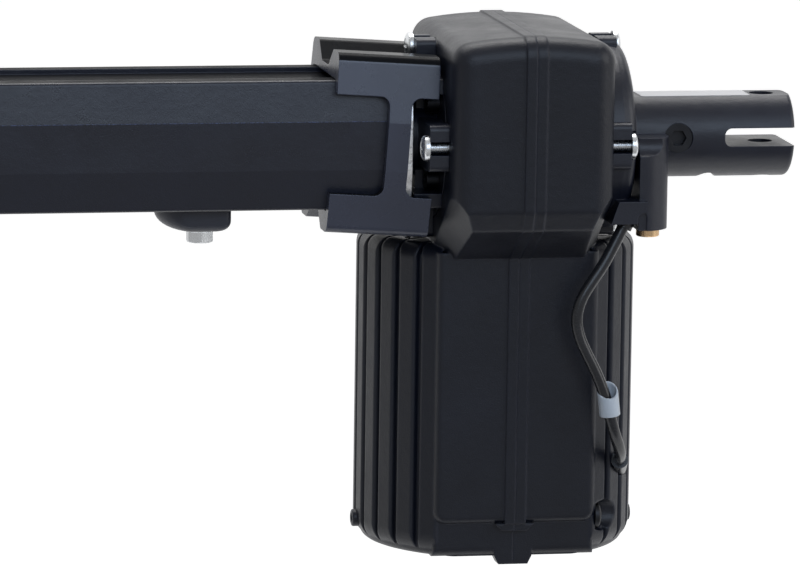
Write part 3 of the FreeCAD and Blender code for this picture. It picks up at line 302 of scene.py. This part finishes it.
class Shader:
    """A small helper that builds one node material."""

    def __init__(self, name):
        self.material = bpy.data.materials.new(name)
        self.material.use_nodes = True
        self.tree = self.material.node_tree
        self.principled = self.tree.nodes["Principled BSDF"]
        self.place = self.add("ShaderNodeTexCoord").outputs["Object"]

    def add(self, kind, **values):
        """A new node with these settings."""
        node = self.tree.nodes.new(kind)
        for key, value in values.items():
            setattr(node, key, value)
        return node

    def link(self, source, target):
        """Joins an output to an input."""
        self.tree.links.new(source, target)

    def noise(self, scale, detail=4.0, rough=0.5, stretch=(1.0, 1.0, 1.0)):
        """Noise at this many cells per metre."""
        mapping = self.add("ShaderNodeMapping")
        mapping.inputs["Scale"].default_value = stretch
        self.link(self.place, mapping.inputs["Vector"])
        node = self.add("ShaderNodeTexNoise")
        node.inputs["Scale"].default_value = scale
        node.inputs["Detail"].default_value = detail
        node.inputs["Roughness"].default_value = rough
        self.link(mapping.outputs["Vector"], node.inputs["Vector"])
        return node.outputs["Fac"]

    def ramp(self, source, stops):
        """A colour or grey ramp over (place, value) stops."""
        node = self.add("ShaderNodeValToRGB")
        elements = node.color_ramp.elements
        while len(elements) < len(stops):
            elements.new(0.5)
        for element, (place, value) in zip(elements, stops):
            element.position = place
            colour = value if isinstance(value, tuple) else (value, value, value)
            element.color = (*colour, 1.0)
        self.link(source, node.inputs["Fac"])
        return node.outputs["Color"]

    def math(self, operation, first, second):
        """A math node over two sources or plain numbers."""
        node = self.add("ShaderNodeMath", operation=operation)
        for socket, value in zip(node.inputs, (first, second)):
            if isinstance(value, (int, float)):
                socket.default_value = value
            else:
                self.link(value, socket)
        return node.outputs[0]

    def mix(self, factor, first, second):
        """A colour between two sources or plain colours."""
        node = self.add("ShaderNodeMix", data_type="RGBA")
        self.link(factor, node.inputs["Factor"])
        for socket, value in ((node.inputs[6], first), (node.inputs[7], second)):
            if isinstance(value, tuple):
                socket.default_value = (*value, 1.0)
            else:
                self.link(value, socket)
        return node.outputs[2]

    def along(self, axis):
        """The place along X, Y or Z in metres."""
        node = self.add("ShaderNodeSeparateXYZ")
        self.link(self.place, node.inputs[0])
        return node.outputs[axis]

    def rounded(self, radius):
        """Normals that round the edges of a piece by this radius in metres."""
        node = self.add("ShaderNodeBevel", samples=bevel_samples)
        node.inputs["Radius"].default_value = radius
        return node.outputs["Normal"]

    def edge(self, normal):
        """A mask that is 1 near edges, where the rounded normals leave the real ones."""
        geometry = self.add("ShaderNodeNewGeometry")
        node = self.add("ShaderNodeVectorMath", operation="DOT_PRODUCT")
        self.link(geometry.outputs["Normal"], node.inputs[0])
        self.link(normal, node.inputs[1])
        return self.ramp(node.outputs["Value"], [(0.80, 1.0), (0.985, 0.6), (0.9985, 0.0)])

    def bump(self, source, strength, depth, after=None):
        """A bump of this depth in metres, on top of another one."""
        node = self.add("ShaderNodeBump")
        node.inputs["Strength"].default_value = strength
        node.inputs["Distance"].default_value = depth
        self.link(source, node.inputs["Height"])
        if after is not None:
            self.link(after, node.inputs["Normal"])
        return node.outputs["Normal"]

    def facing_up(self, least):
        """A mask that is 1 on faces whose normal has at least this height."""
        geometry = self.add("ShaderNodeNewGeometry")
        split = self.add("ShaderNodeSeparateXYZ")
        self.link(geometry.outputs["Normal"], split.inputs[0])
        return self.math("GREATER_THAN", split.outputs[2], least)

    def set(self, **values):
        """Sets plain values on the shader, such as Metallic."""
        for key, value in values.items():
            self.principled.inputs[key.replace("_", " ")].default_value = value

    def feed(self, **sources):
        """Links sources to the shader, such as Roughness, and gives the finished material."""
        for key, source in sources.items():
            self.link(source, self.principled.inputs[key.replace("_", " ")])
        return self.material


def shade(colour, factor):
    """A colour made paler or darker by this factor."""
    return tuple(min(1.0, c * factor) for c in colour)


def coat_parts(s, colour, rough, grain_scale, grain_depth, spread=0.25, worn=2.2, edge=0.0005):
    """Colour, gloss and normals of a painted or moulded surface with paler edges, partly worn paint
    and partly a painted highlight.
    """
    rounded = s.rounded(edge)
    drift = s.noise(drift_scale, 5.0, 0.55)
    grain = s.noise(grain_scale, 3.0, 0.6)
    tint = s.ramp(drift, [(0.25, shade(colour, 1 - spread)), (0.75, shade(colour, 1 + spread))])
    wear_and_highlight_patches = s.ramp(s.noise(wear_and_highlight_scale, 5.0, 0.65), [(0.3, 0.25), (0.65, 1.0)])
    # Paler edges in patches: partly rubbed paint, partly a painted highlight along the edges.
    tint = s.mix(s.math("MULTIPLY", s.edge(rounded), wear_and_highlight_patches), tint, shade(colour, worn))
    uneven = s.noise(gloss_scale, 6.0, 0.6)
    gloss = s.ramp(uneven, [(0.3, rough - 0.05), (0.7, rough + 0.06)])
    fine = s.bump(grain, 0.6, grain_depth, rounded)
    coarse = s.noise(grain_scale / coarse_size, 2.0)
    return tint, gloss, s.bump(coarse, 0.3, grain_depth * coarse_depth, fine)


def coated(name, colour, rough, grain_scale, grain_depth, specular=0.4, **finish):
    """A painted or moulded surface: fine grain, slow colour drift, uneven gloss and paler edges,
    partly worn paint and partly a painted highlight.
    """
    s = Shader(name)
    s.set(Specular_IOR_Level=specular)
    tint, gloss, normal = coat_parts(s, colour, rough, grain_scale, grain_depth, **finish)
    return s.feed(Base_Color=tint, Roughness=gloss, Normal=normal)


def saddle_paint(name, colour, rough, grain_scale, grain_depth):
    """Smooth paint on the saddle, its colour paler than the black paint as painted light on the
    faces to the front, and darker and duller as painted shade on the ridges and the valley that
    face up.
    """
    s = Shader(name)
    tint, gloss, normal = coat_parts(s, colour, rough, grain_scale, grain_depth)
    top = s.facing_up(saddle_top_least)
    level = s.ramp(top, [(0.0, saddle_specular), (1.0, saddle_top_specular)])
    # Painted shade: faces that face up take a darker black.
    tint = s.mix(top, tint, up_facing_painted_shade)
    return s.feed(Base_Color=tint, Roughness=gloss, Normal=normal, Specular_IOR_Level=level)


def tube_paint(name, colour, rough, grain_scale, grain_depth, **finish):
    """Black paint on the extruded tube, with faint drawing lines along it, a pale dotted line along
    the crease as a painted highlight, a flat top with little shine in a less blue black as painted
    shade, and a bare sawn end at the joint."""
    s = Shader(name)
    tint, gloss, normal = coat_parts(s, colour, rough, grain_scale, grain_depth, **finish)
    normal = s.bump(s.noise(line_scale, 3.0, 0.6, line_stretch), 0.25, line_depth, normal)
    ragged = s.math("MULTIPLY", s.noise(bare_ragged_scale, 4.0, 0.7), bare_ragged)
    bare = s.math("GREATER_THAN", s.math("ADD", s.along(0), ragged), bare_end)
    from_crease = s.math("ABSOLUTE", s.math("SUBTRACT", s.along(2), tube_crease), 0.0)
    crease_highlight = s.math("LESS_THAN", from_crease, crease_half_width)
    dots = s.ramp(s.noise(crease_dot_scale, 3.0, 0.7), [(0.42, 0.0), (0.60, 1.0)])
    # Painted highlight: a pale dotted line along the crease.
    tint = s.mix(s.math("MULTIPLY", crease_highlight, dots), tint, shade(colour, crease_highlight_gain))
    inside = s.math("SUBTRACT", 1.0, s.edge(s.rounded(tube_top_edge)))
    flat_top = s.math("MULTIPLY", s.facing_up(tube_top_least), inside)
    # Painted shade: the flat top takes a duller, less blue black than the rest.
    tint = s.mix(flat_top, tint, up_facing_painted_shade)
    level = s.ramp(flat_top, [(0.0, tube_specular), (1.0, tube_top_specular)])
    patches = s.ramp(s.noise(bare_patch_scale, 4.0, 0.7), [(0.30, bare_dark), (0.50, bare_bright)])
    tint = s.mix(bare, tint, patches)
    return s.feed(Base_Color=tint, Roughness=gloss, Normal=normal, Specular_IOR_Level=level,
                  Metallic=bare)


def metal(name, colour, rough, stretch=(1.0, 1.0, 1.0), marked=0.25):
    """A bare or plated metal with fine tool marks along one way and slightly uneven colour."""
    s = Shader(name)
    s.set(Metallic=1.0)
    drift = s.noise(metal_drift_scale, 4.0, 0.55)
    marks = s.noise(mark_scale, 3.0, 0.6, stretch)
    dark, pale = shade(colour, 1 - metal_drift), shade(colour, 1 + metal_drift)
    tint = s.ramp(drift, [(0.3, dark), (0.7, pale)])
    gloss = s.ramp(marks, [(0.3, rough - 0.06), (0.7, rough + 0.1)])
    normal = s.bump(marks, marked, mark_depth, s.rounded(metal_edge))
    return s.feed(Base_Color=tint, Roughness=gloss, Normal=normal)


def rubber(name, colour, rough):
    """A smooth rubber sheath with a fine drawn skin."""
    s = Shader(name)
    grain = s.noise(rubber_skin_scale, 3.0, 0.6)
    drift = s.noise(rubber_drift_scale)
    tint = s.ramp(drift, [(0.3, shade(colour, 0.8)), (0.7, shade(colour, 1.25))])
    gloss = s.ramp(grain, [(0.3, rough - 0.06), (0.7, rough + 0.06)])
    normal = s.bump(grain, 0.3, rubber_skin_depth)
    return s.feed(Base_Color=tint, Roughness=gloss, Normal=normal)


def make_materials():
    """All materials by name. Coats have a colour, roughness, and grain in cells per metre and in
    metres deep, metals a colour and roughness."""
    return {
        "black_paint": coated("black_paint", (0.0085, 0.0110, 0.0225), 0.35, 2300.0, 0.00013,
                              specular=0.52),
        "tube_paint": tube_paint("tube_paint", (0.0080, 0.0108, 0.0235), 0.31, 2300.0, 0.00012,
                                 spread=0.22, worn=2.4),
        "black_cover": coated("black_cover", (0.0070, 0.0090, 0.0170), 0.36, 1900.0, 0.00018,
                              edge=0.0014),
        # The saddle's colour is painted light: paler than the other black paint, for the light on
        # its front faces.
        "saddle_paint": saddle_paint("saddle_paint", (0.0450, 0.0530, 0.0860), 0.27, 900.0,
                                     0.00003),
        "zinc_steel": metal("zinc_steel", (0.82, 0.84, 0.86), 0.27, marked=0.08),
        "dark_steel": metal("dark_steel", (0.20, 0.20, 0.21), 0.35, stretch=(8.0, 1.0, 1.0)),
        "blackened_steel": metal("blackened_steel", (0.035, 0.036, 0.040), 0.42),
        "brass": metal("brass", (0.82, 0.56, 0.32), 0.28),
        "bronze": metal("bronze", (0.50, 0.33, 0.15), 0.32),
        "cast_aluminium": metal("cast_aluminium", (0.58, 0.58, 0.59), 0.45),
        "motor_steel": metal("motor_steel", (0.45, 0.45, 0.46), 0.35),
        "magnet": coated("magnet", (0.06, 0.06, 0.065), 0.6, 1800.0, 0.00005),
        "pad_plastic": coated("pad_plastic", (0.66, 0.65, 0.61), 0.45, 1800.0, 0.00003,
                              spread=0.06, worn=1.05),
        "stop_paint": coated("stop_paint", (0.0600, 0.0640, 0.0840), 0.38, 1800.0, 0.00010),
        "cable_rubber": rubber("cable_rubber", (0.018, 0.019, 0.023), 0.24),
        "white_sleeve": coated("white_sleeve", (0.72, 0.78, 0.85), 0.38, 1600.0, 0.00003,
                               spread=0.05, worn=1.1),
        "white_label": coated("white_label", (0.67, 0.67, 0.69), 0.40, 2600.0, 0.00002,
                              spread=0.04, worn=1.0),
    }


def dress(materials):
    """Gives each CAD node the material of its slot, or of its own where it differs."""
    own = {
        "joint_saddle": "saddle_paint",
        "tube_profile": "tube_paint",
        "arm_set_screw": "blackened_steel",
        "flange_screws": "blackened_steel",
    }
    for part in frame["record"]["subparts"]:
        name = part["node"]
        mesh = nodes[name].data
        mesh.materials.clear()
        mesh.materials.append(materials[own.get(name, part["material_slot"])])


def add_rows(bm, rings):
    """A row of mesh points for each ring."""
    return [[bm.verts.new(p) for p in ring] for ring in rings]


def join_rows(bm, lower, upper):
    """Faces between the closed rows of two lists, pair by pair."""
    for low, high in zip(lower, upper):
        for i in range(len(low)):
            j = (i + 1) % len(low)
            bm.faces.new((low[i], low[j], high[j], high[i]))


def skin(bm, rings):
    """Joins closed rings of points in order and closes both ends."""
    rows = add_rows(bm, rings)
    join_rows(bm, rows, rows[1:])
    bm.faces.new(reversed(rows[0]))
    bm.faces.new(rows[-1])


def loop(bm, rings):
    """Joins closed rings of points in order, and the last one to the first."""
    rows = add_rows(bm, rings)
    join_rows(bm, rows, rows[1:] + rows[:1])


def even_turns(steps):
    """Angles of a full turn in even steps."""
    return [2 * math.pi * i / steps for i in range(steps)]


def circle(radius, steps):
    """Points (u, v) on a circle about the origin."""
    return [(radius * math.cos(t), radius * math.sin(t)) for t in even_turns(steps)]


def thread(bm, place, start, end, crest, root, pitch, starts, steps):
    """A helical thread between two heights; place turns (height, u, v) into a point."""
    lead = pitch * starts
    profile = []
    for tooth in range(starts):
        base = tooth * pitch
        profile += [(base, root), (base + root_end * pitch, root),
                    (base + crest_start * pitch, crest), (base + crest_end * pitch, crest)]
    profile.append((lead, root))
    before = None
    for k in range((math.ceil((end - start) / lead) + 1) * steps + 1):
        turn = 2 * math.pi * k / steps
        shift = start - lead + lead * k / steps
        row = []
        for offset, radius in profile:
            height = min(end, max(start, shift + offset))
            u, v = radius * math.cos(turn), radius * math.sin(turn)
            row.append(bm.verts.new(place(height, u, v)))
        if before:
            for i in range(len(row) - 1):
                bm.faces.new((before[i], row[i], row[i + 1], before[i + 1]))
        before = row


def add_piece(name, bm, body, material, slot, *hidden):
    """Makes a piece from mesh data, riding on a body in place of the CAD nodes that it hides."""
    bmesh.ops.remove_doubles(bm, verts=bm.verts, dist=merge_distance)
    bmesh.ops.dissolve_degenerate(bm, edges=bm.edges, dist=sliver_length)
    bmesh.ops.recalc_face_normals(bm, faces=bm.faces)
    mesh = bpy.data.meshes.new(name)
    bm.to_mesh(mesh)
    bm.free()
    mesh.shade_smooth()
    mesh.set_sharp_from_angle(angle=sharp_angle)
    piece = bpy.data.objects.new(name, mesh)
    scene.collection.objects.link(piece)
    mesh.materials.append(material)
    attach(piece, body)
    if hidden:
        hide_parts(*hidden)
    return piece


def cross_recess(u, v):
    """Depth of the cross recess at a place on a screw's head."""
    deepest = 0.0
    for along, beside in ((abs(u), abs(v)), (abs(v), abs(u))):
        wall = min(1.0, max(0.0, (cross_half_width - beside) / cross_wall))
        end = min(1.0, max(0.0, (cross_reach - along) / cross_wall))
        deepest = max(deepest, wall * end * (cross_depth - cross_slope * along))
    return deepest


def add_screw(bm, seat, tip, y, z):
    """One domed screw along X with a cross recess and a threaded shank."""
    way = 1.0 if tip > seat else -1.0
    rings = []
    for i in range(head_rings):
        share = (i + head_first_ring) / (head_rings - 1 + head_first_ring)
        radius = head_radius * math.sin(math.pi / 2 * share)
        dome = (head_height - head_side) * math.sqrt(1 - (radius / head_radius) ** 2)
        rings.append([(seat - way * (head_side + dome - cross_recess(u, v)), y + u, z + v)
                      for u, v in circle(radius, head_steps)])
    for radius in (head_radius, shank_radius):
        rings.append([(seat, y + u, z + v) for u, v in circle(radius, head_steps)])
    skin(bm, rings)
    low, high = sorted((seat, tip))
    thread(bm, lambda h, u, v: (h, y + u, z + v), low, high, shank_radius,
           shank_radius - thread_depth * shank_pitch, shank_pitch, 1, shank_steps)


def add_screws(name, node, way, spots, material):
    """All screws of one CAD node. spots gives their places (y, z) from the node's corners."""
    low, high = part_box(node)
    crown, tip = (low[0], high[0]) if way > 0 else (high[0], low[0])
    bm = bmesh.new()
    for y, z in spots(low, high):
        add_screw(bm, crown + way * head_height, tip, y, z)
    add_piece(name, bm, "base", material, "zinc_steel", node)


def round_pattern(low, high):
    """Four places on a circle about the drive line."""
    reach = high[1] - head_radius
    return [(reach, 0.0), (0.0, reach), (-reach, 0.0), (0.0, -reach)]


def square_pattern(low, high):
    """Four places at the corners of a square about the drive line."""
    reach = high[1] - head_radius
    return [(side * reach, level * reach) for side in (-1, 1) for level in (-1, 1)]


def pair_pattern(low, high):
    """Two places at the same height."""
    level = (low[2] + high[2]) / 2
    return [(low[1] + head_radius, level), (high[1] - head_radius, level)]


def add_lead_screw(materials):
    """The lead screw with a two-start thread, its plain journals and the flats for the clutch."""
    low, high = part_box("lead_screw")
    thread_start = low[0] + front_journal_length
    bm = bmesh.new()
    for start, end, radius in ((low[0], thread_start, front_journal_radius),
                               (thread_end, plain_end, plain_radius),
                               (key_end, high[0], tail_radius)):
        skin(bm, [[(x, u, v) for u, v in circle(radius, journal_steps)] for x in (start, end)])
    key = [(max(-key_flat, min(key_flat, u)), v) for u, v in circle(key_radius, key_steps)]
    skin(bm, [[(x, u, v) for u, v in key] for x in (plain_end, key_end)])
    thread(bm, lambda h, u, v: (h, u, v), thread_start, thread_end, screw_crest, screw_root,
           screw_pitch, screw_starts, screw_steps)
    add_piece("lead_screw_thread", bm, "screw", materials["dark_steel"], "dark_steel", "lead_screw")


def hexagon_radius(turn):
    """Distance from the axis to a hexagon's side at this turn."""
    sector = math.pi / 3
    return bolt_across / 2 / math.cos((turn + sector / 2) % sector - sector / 2)


def add_stop_bolt(name, node, body, materials):
    """A stop's bolt with a chamfered hexagon head, a rounded washer and a threaded shank."""
    low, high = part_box(node)
    x, y = (low[0] + high[0]) / 2, (low[1] + high[1]) / 2
    seat = low[2] + bolt_head_height
    top = seat + washer_height
    bm = bmesh.new()
    flat = bolt_across / 2 * bolt_flat_share

    def ring(radius_of, height_of):
        return [(x + radius_of(t) * math.cos(t), y + radius_of(t) * math.sin(t), height_of(t))
                for t in even_turns(hexagon_steps)]

    def chamfered(turn):
        return low[2] + (hexagon_radius(turn) - flat) * chamfer_slope

    skin(bm, [ring(lambda t: flat * bolt_centre_share, lambda t: low[2]),
              ring(lambda t: flat, lambda t: low[2]),
              ring(hexagon_radius, chamfered),
              ring(hexagon_radius, lambda t: seat)])
    rim = washer_height * washer_rim_share
    washer = [(bolt_shank_radius, seat), (washer_radius - rim, seat), (washer_radius, seat + rim),
              (washer_radius, top - rim), (washer_radius - rim, top), (bolt_shank_radius, top)]
    skin(bm, [[(x + u, y + v, level) for u, v in circle(radius, hexagon_steps)]
              for radius, level in washer])
    thread(bm, lambda h, u, v: (x + u, y + v, h), top, high[2], bolt_shank_radius,
           bolt_shank_radius - thread_depth * bolt_pitch, bolt_pitch, 1, bolt_thread_steps)
    add_piece(name, bm, body, materials["zinc_steel"], "zinc_steel", node)


def curve_in(length, height, level):
    """How far a rounded lower edge lies inside its outline at this level above the bottom."""
    if level >= height:
        return 0.0
    return length * (1 - math.sqrt(1 - (1 - level / height) ** 2))


def add_stop(name, node, way, body, materials):
    """A travel stop with a long rounded nose, way along X, and rounded lower edges."""
    low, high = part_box(node)
    wide = high[1]
    nose, tail = (high[0], low[0]) if way > 0 else (low[0], high[0])
    round_x = nose - way * wide
    levels = [stop_nose_height * (1 - math.cos(math.pi / 2 * i / stop_levels))
              for i in range(stop_levels + 1)]
    rings = []
    for level in levels + [high[2] - low[2]]:
        nose_in = curve_in(stop_nose_length, stop_nose_height, level)
        edge_in = curve_in(stop_edge, stop_edge, level)
        side = wide - edge_in
        ring = []
        for i in range(stop_steps + 1):
            turn = math.pi * (i / stop_steps - 0.5)
            ring.append((round_x + way * (wide - nose_in) * math.cos(turn), side * math.sin(turn)))
        for hand in (1, -1):
            for i in range(stop_corner_steps + 1):
                turn = math.pi / 2 * i / stop_corner_steps
                if hand < 0:
                    turn = math.pi / 2 - turn
                ring.append((tail + way * (edge_in + stop_corner * (1 - math.sin(turn))),
                             hand * (side - stop_corner * (1 - math.cos(turn)))))
        rings.append([(x, y, low[2] + level) for x, y in ring])
    bm = bmesh.new()
    skin(bm, rings)
    add_piece(name, bm, body, materials["stop_paint"], "stop_paint", node)


def add_release_rim(materials):
    """The turned rim round the release's key socket."""
    x, y = release_place
    low = rim_bottom + rim_chamfer
    profile = [(rim_inner, rim_top), (rim_outer, rim_top), (rim_outer, low),
               (rim_outer - rim_chamfer, rim_bottom), (rim_inner + rim_chamfer, rim_bottom),
               (rim_inner, low)]
    bm = bmesh.new()
    loop(bm, [[(x + u, y + v, level) for u, v in circle(radius, rim_steps)]
              for radius, level in profile])
    add_piece("release_rim", bm, "release", materials["brass"], "brass")


def add_side_lugs(materials):
    """A short round lug with a dimple on each side of the cover, near its lower end."""
    x, y = lug_axis
    bevel = lug_rim_share * lug_rim
    profile = [(lug_radius, lug_start), (lug_radius, lug_end - lug_rim),
               (lug_radius - bevel, lug_end - bevel), (lug_radius - lug_rim, lug_end),
               (lug_dimple, lug_end), (lug_dimple - lug_dimple_share * lug_rim, lug_end - lug_rim)]
    bm = bmesh.new()
    for way in (-1, 1):
        skin(bm, [[(x + way * out, y + u, lug_height + v) for u, v in circle(radius, lug_steps)]
                  for radius, out in profile])
    add_piece("side_lugs", bm, "base", materials["black_cover"], "black_cover")


def add_sticker(materials):
    """A plain white sticker with rounded corners on the arm's flat top."""
    outline = []
    centre_x = (sticker_left + sticker_right) / 2
    half_x = (sticker_right - sticker_left) / 2 - sticker_corner
    half_y = sticker_half_width - sticker_corner
    for u, v in circle(sticker_corner, sticker_steps):
        outline.append((centre_x + math.copysign(half_x, u) + u, math.copysign(half_y, v) + v))
    bm = bmesh.new()
    top = arm_top + sticker_thickness
    skin(bm, [[(x, y, level) for x, y in outline] for level in (arm_top, top)])
    add_piece("arm_sticker", bm, "base", materials["white_label"], "white_sleeve")


def cable_spline(name):
    """A curve through the cable's control points, without a section."""
    curve = bpy.data.curves.new(name, "CURVE")
    curve.dimensions = "3D"
    curve.resolution_u = cable_resolution
    spline = curve.splines.new("NURBS")
    spline.points.add(len(cable_route) - 1)
    for point, place in zip(spline.points, cable_route):
        point.co = (*place, 1.0)
    spline.order_u = cable_order
    spline.use_endpoint_u = True
    return bpy.data.objects.new(name, curve)


def spline_point(height):
    """The cable's place at this height, and its way down from there, read from its spline."""
    guide = cable_spline("cable_guide")
    scene.collection.objects.link(guide)
    bpy.context.view_layer.update()
    drawn = guide.evaluated_get(bpy.context.evaluated_depsgraph_get())
    line = bpy.data.meshes.new_from_object(drawn)
    points = [v.co.copy() for v in line.vertices]
    bpy.data.meshes.remove(line)
    bpy.data.objects.remove(guide)
    i = min(range(1, len(points) - 1), key=lambda k: abs(points[k].z - height))
    return points[i], (points[i + 1] - points[i - 1]).normalized()


def add_sleeve(materials):
    """The white marker sleeve on the cable, cut square below and slanted above."""
    foot, down = spline_point(sleeve_bottom)
    up = Vector((0, 0, 1)).lerp(-down, sleeve_lean).normalized()
    side = up.cross(Vector((0, 1, 0))).normalized()
    back = side.cross(up).normalized()
    if back.y < 0:
        back = -back
    middle = (sleeve_front_height + sleeve_back_height) / 2
    slope = (sleeve_back_height - sleeve_front_height) / 2
    inner = sleeve_radius - sleeve_wall

    def ring(radius, height, slant):
        return [foot + side * u + back * v + up * (height + slant * v / sleeve_radius)
                for u, v in circle(radius, sleeve_steps)]

    rim = sleeve_wall / 4
    rings = [ring(inner, 0, 0), ring(sleeve_radius - rim, 0, 0), ring(sleeve_radius, rim, 0),
             ring(sleeve_radius, middle - rim, slope), ring(sleeve_radius - rim, middle, slope),
             ring(inner, middle, slope)]
    bm = bmesh.new()
    loop(bm, rings)
    return add_piece("marker_sleeve", bm, "base", materials["white_sleeve"], "white_sleeve",
                     "cable_sleeve")


def add_cable(materials):
    """The motor cable as one smooth spline, with the marker sleeve on it."""
    sleeve = add_sleeve(materials)
    cable = cable_spline("cable")
    cable.data.bevel_depth = cable_diameter / 2
    cable.data.bevel_resolution = cable_section_resolution
    cable.data.use_fill_caps = True
    scene.collection.objects.link(cable)
    cable.data.materials.append(materials["cable_rubber"])
    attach(cable, "base")
    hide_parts("motor_cable")


def white_ground(name, shine):
    """A pale matt surface that glows white to camera and see-through rays, and by shine to glossy
    ones."""
    s = Shader(name)
    s.set(Roughness=ground_rough, Specular_IOR_Level=ground_specular)
    s.feed(Base_Color=s.ramp(s.noise(ground_scale), [(0.3, ground_dark), (0.7, ground_pale)]))
    glow = s.add("ShaderNodeEmission")
    rays = s.add("ShaderNodeLightPath").outputs
    seen = s.math("MAXIMUM", rays["Is Camera Ray"], rays["Is Transmission Ray"])
    seen = s.math("MULTIPLY", seen, ground_glow)
    mirrored = s.math("MULTIPLY", rays["Is Glossy Ray"], shine)
    s.link(s.math("MAXIMUM", seen, mirrored), glow.inputs["Strength"])
    total = s.add("ShaderNodeAddShader")
    s.link(s.principled.outputs["BSDF"], total.inputs[0])
    s.link(glow.outputs["Emission"], total.inputs[1])
    s.link(total.outputs["Shader"], s.tree.nodes["Material Output"].inputs["Surface"])
    return s.material


def add_sheet(name, shine, front, back):
    """A wide sheet of the stage between two edges, each given as (y, z)."""
    wide = stage_half_width
    mesh = bpy.data.meshes.new(name)
    mesh.from_pydata([(-wide, *front), (wide, *front), (wide, *back), (-wide, *back)], [],
                     [(0, 1, 2, 3)])
    sheet = bpy.data.objects.new(name, mesh)
    scene.collection.objects.link(sheet)
    mesh.materials.append(white_ground(name, shine))


def add_stage():
    """A pale floor below the operator, which hangs between its brackets, and a backdrop behind."""
    corner = (stage_back, floor_level)
    add_sheet("floor", floor_shine, (floor_front, floor_level), corner)
    add_sheet("backdrop", backdrop_shine, corner, (stage_back, backdrop_top))


def add_world():
    """White for camera rays, a dim sky for the light, and a sky darker low down in reflections."""
    world = bpy.data.worlds.new("studio")
    world.use_nodes = True
    add, link = world.node_tree.nodes.new, world.node_tree.links.new
    background = world.node_tree.nodes["Background"]
    background.inputs["Color"].default_value = (1.0, 1.0, 1.0, 1.0)
    rays = add("ShaderNodeLightPath").outputs
    split = add("ShaderNodeSeparateXYZ")
    link(add("ShaderNodeTexCoord").outputs["Generated"], split.inputs[0])
    mirrored = add("ShaderNodeMapRange")
    for socket, value in (("From Min", sky_low_height), ("From Max", sky_high_height),
                          ("To Min", sky_low_mirrored), ("To Max", sky_high_mirrored)):
        mirrored.inputs[socket].default_value = value
    link(split.outputs[2], mirrored.inputs["Value"])
    shine = add("ShaderNodeMix")
    shine.inputs["A"].default_value = sky_light
    link(mirrored.outputs["Result"], shine.inputs["B"])
    link(rays["Is Glossy Ray"], shine.inputs["Factor"])
    level = add("ShaderNodeMix")
    level.inputs["B"].default_value = sky_seen
    link(shine.outputs["Result"], level.inputs["A"])
    link(rays["Is Camera Ray"], level.inputs["Factor"])
    link(level.outputs["Result"], background.inputs["Strength"])
    scene.world = world


scene.view_settings.view_transform = "Standard"
add_camera()
looks = make_materials()
add_cable(looks)
dress(looks)
add_screws("left_screws", "left_cover_screws", 1, round_pattern, looks["zinc_steel"])
add_screws("right_screws", "right_cover_screws", -1, round_pattern, looks["zinc_steel"])
add_screws("lower_screws", "lower_cover_screws", -1, pair_pattern, looks["blackened_steel"])
add_screws("cap_screws", "end_cap_screws", 1, square_pattern, looks["zinc_steel"])
add_lead_screw(looks)
add_stop_bolt("rear_bolt", "rear_stop_bolt", "rear_stop", looks)
add_stop_bolt("front_bolt", "front_stop_bolt", "front_stop", looks)
add_release_rim(looks)
add_stop("rear_stop", "rear_stop_block", -1, "rear_stop", looks)
add_stop("front_stop", "front_stop_block", 1, "front_stop", looks)
add_side_lugs(looks)
add_sticker(looks)
add_lights()
add_world()
add_stage()
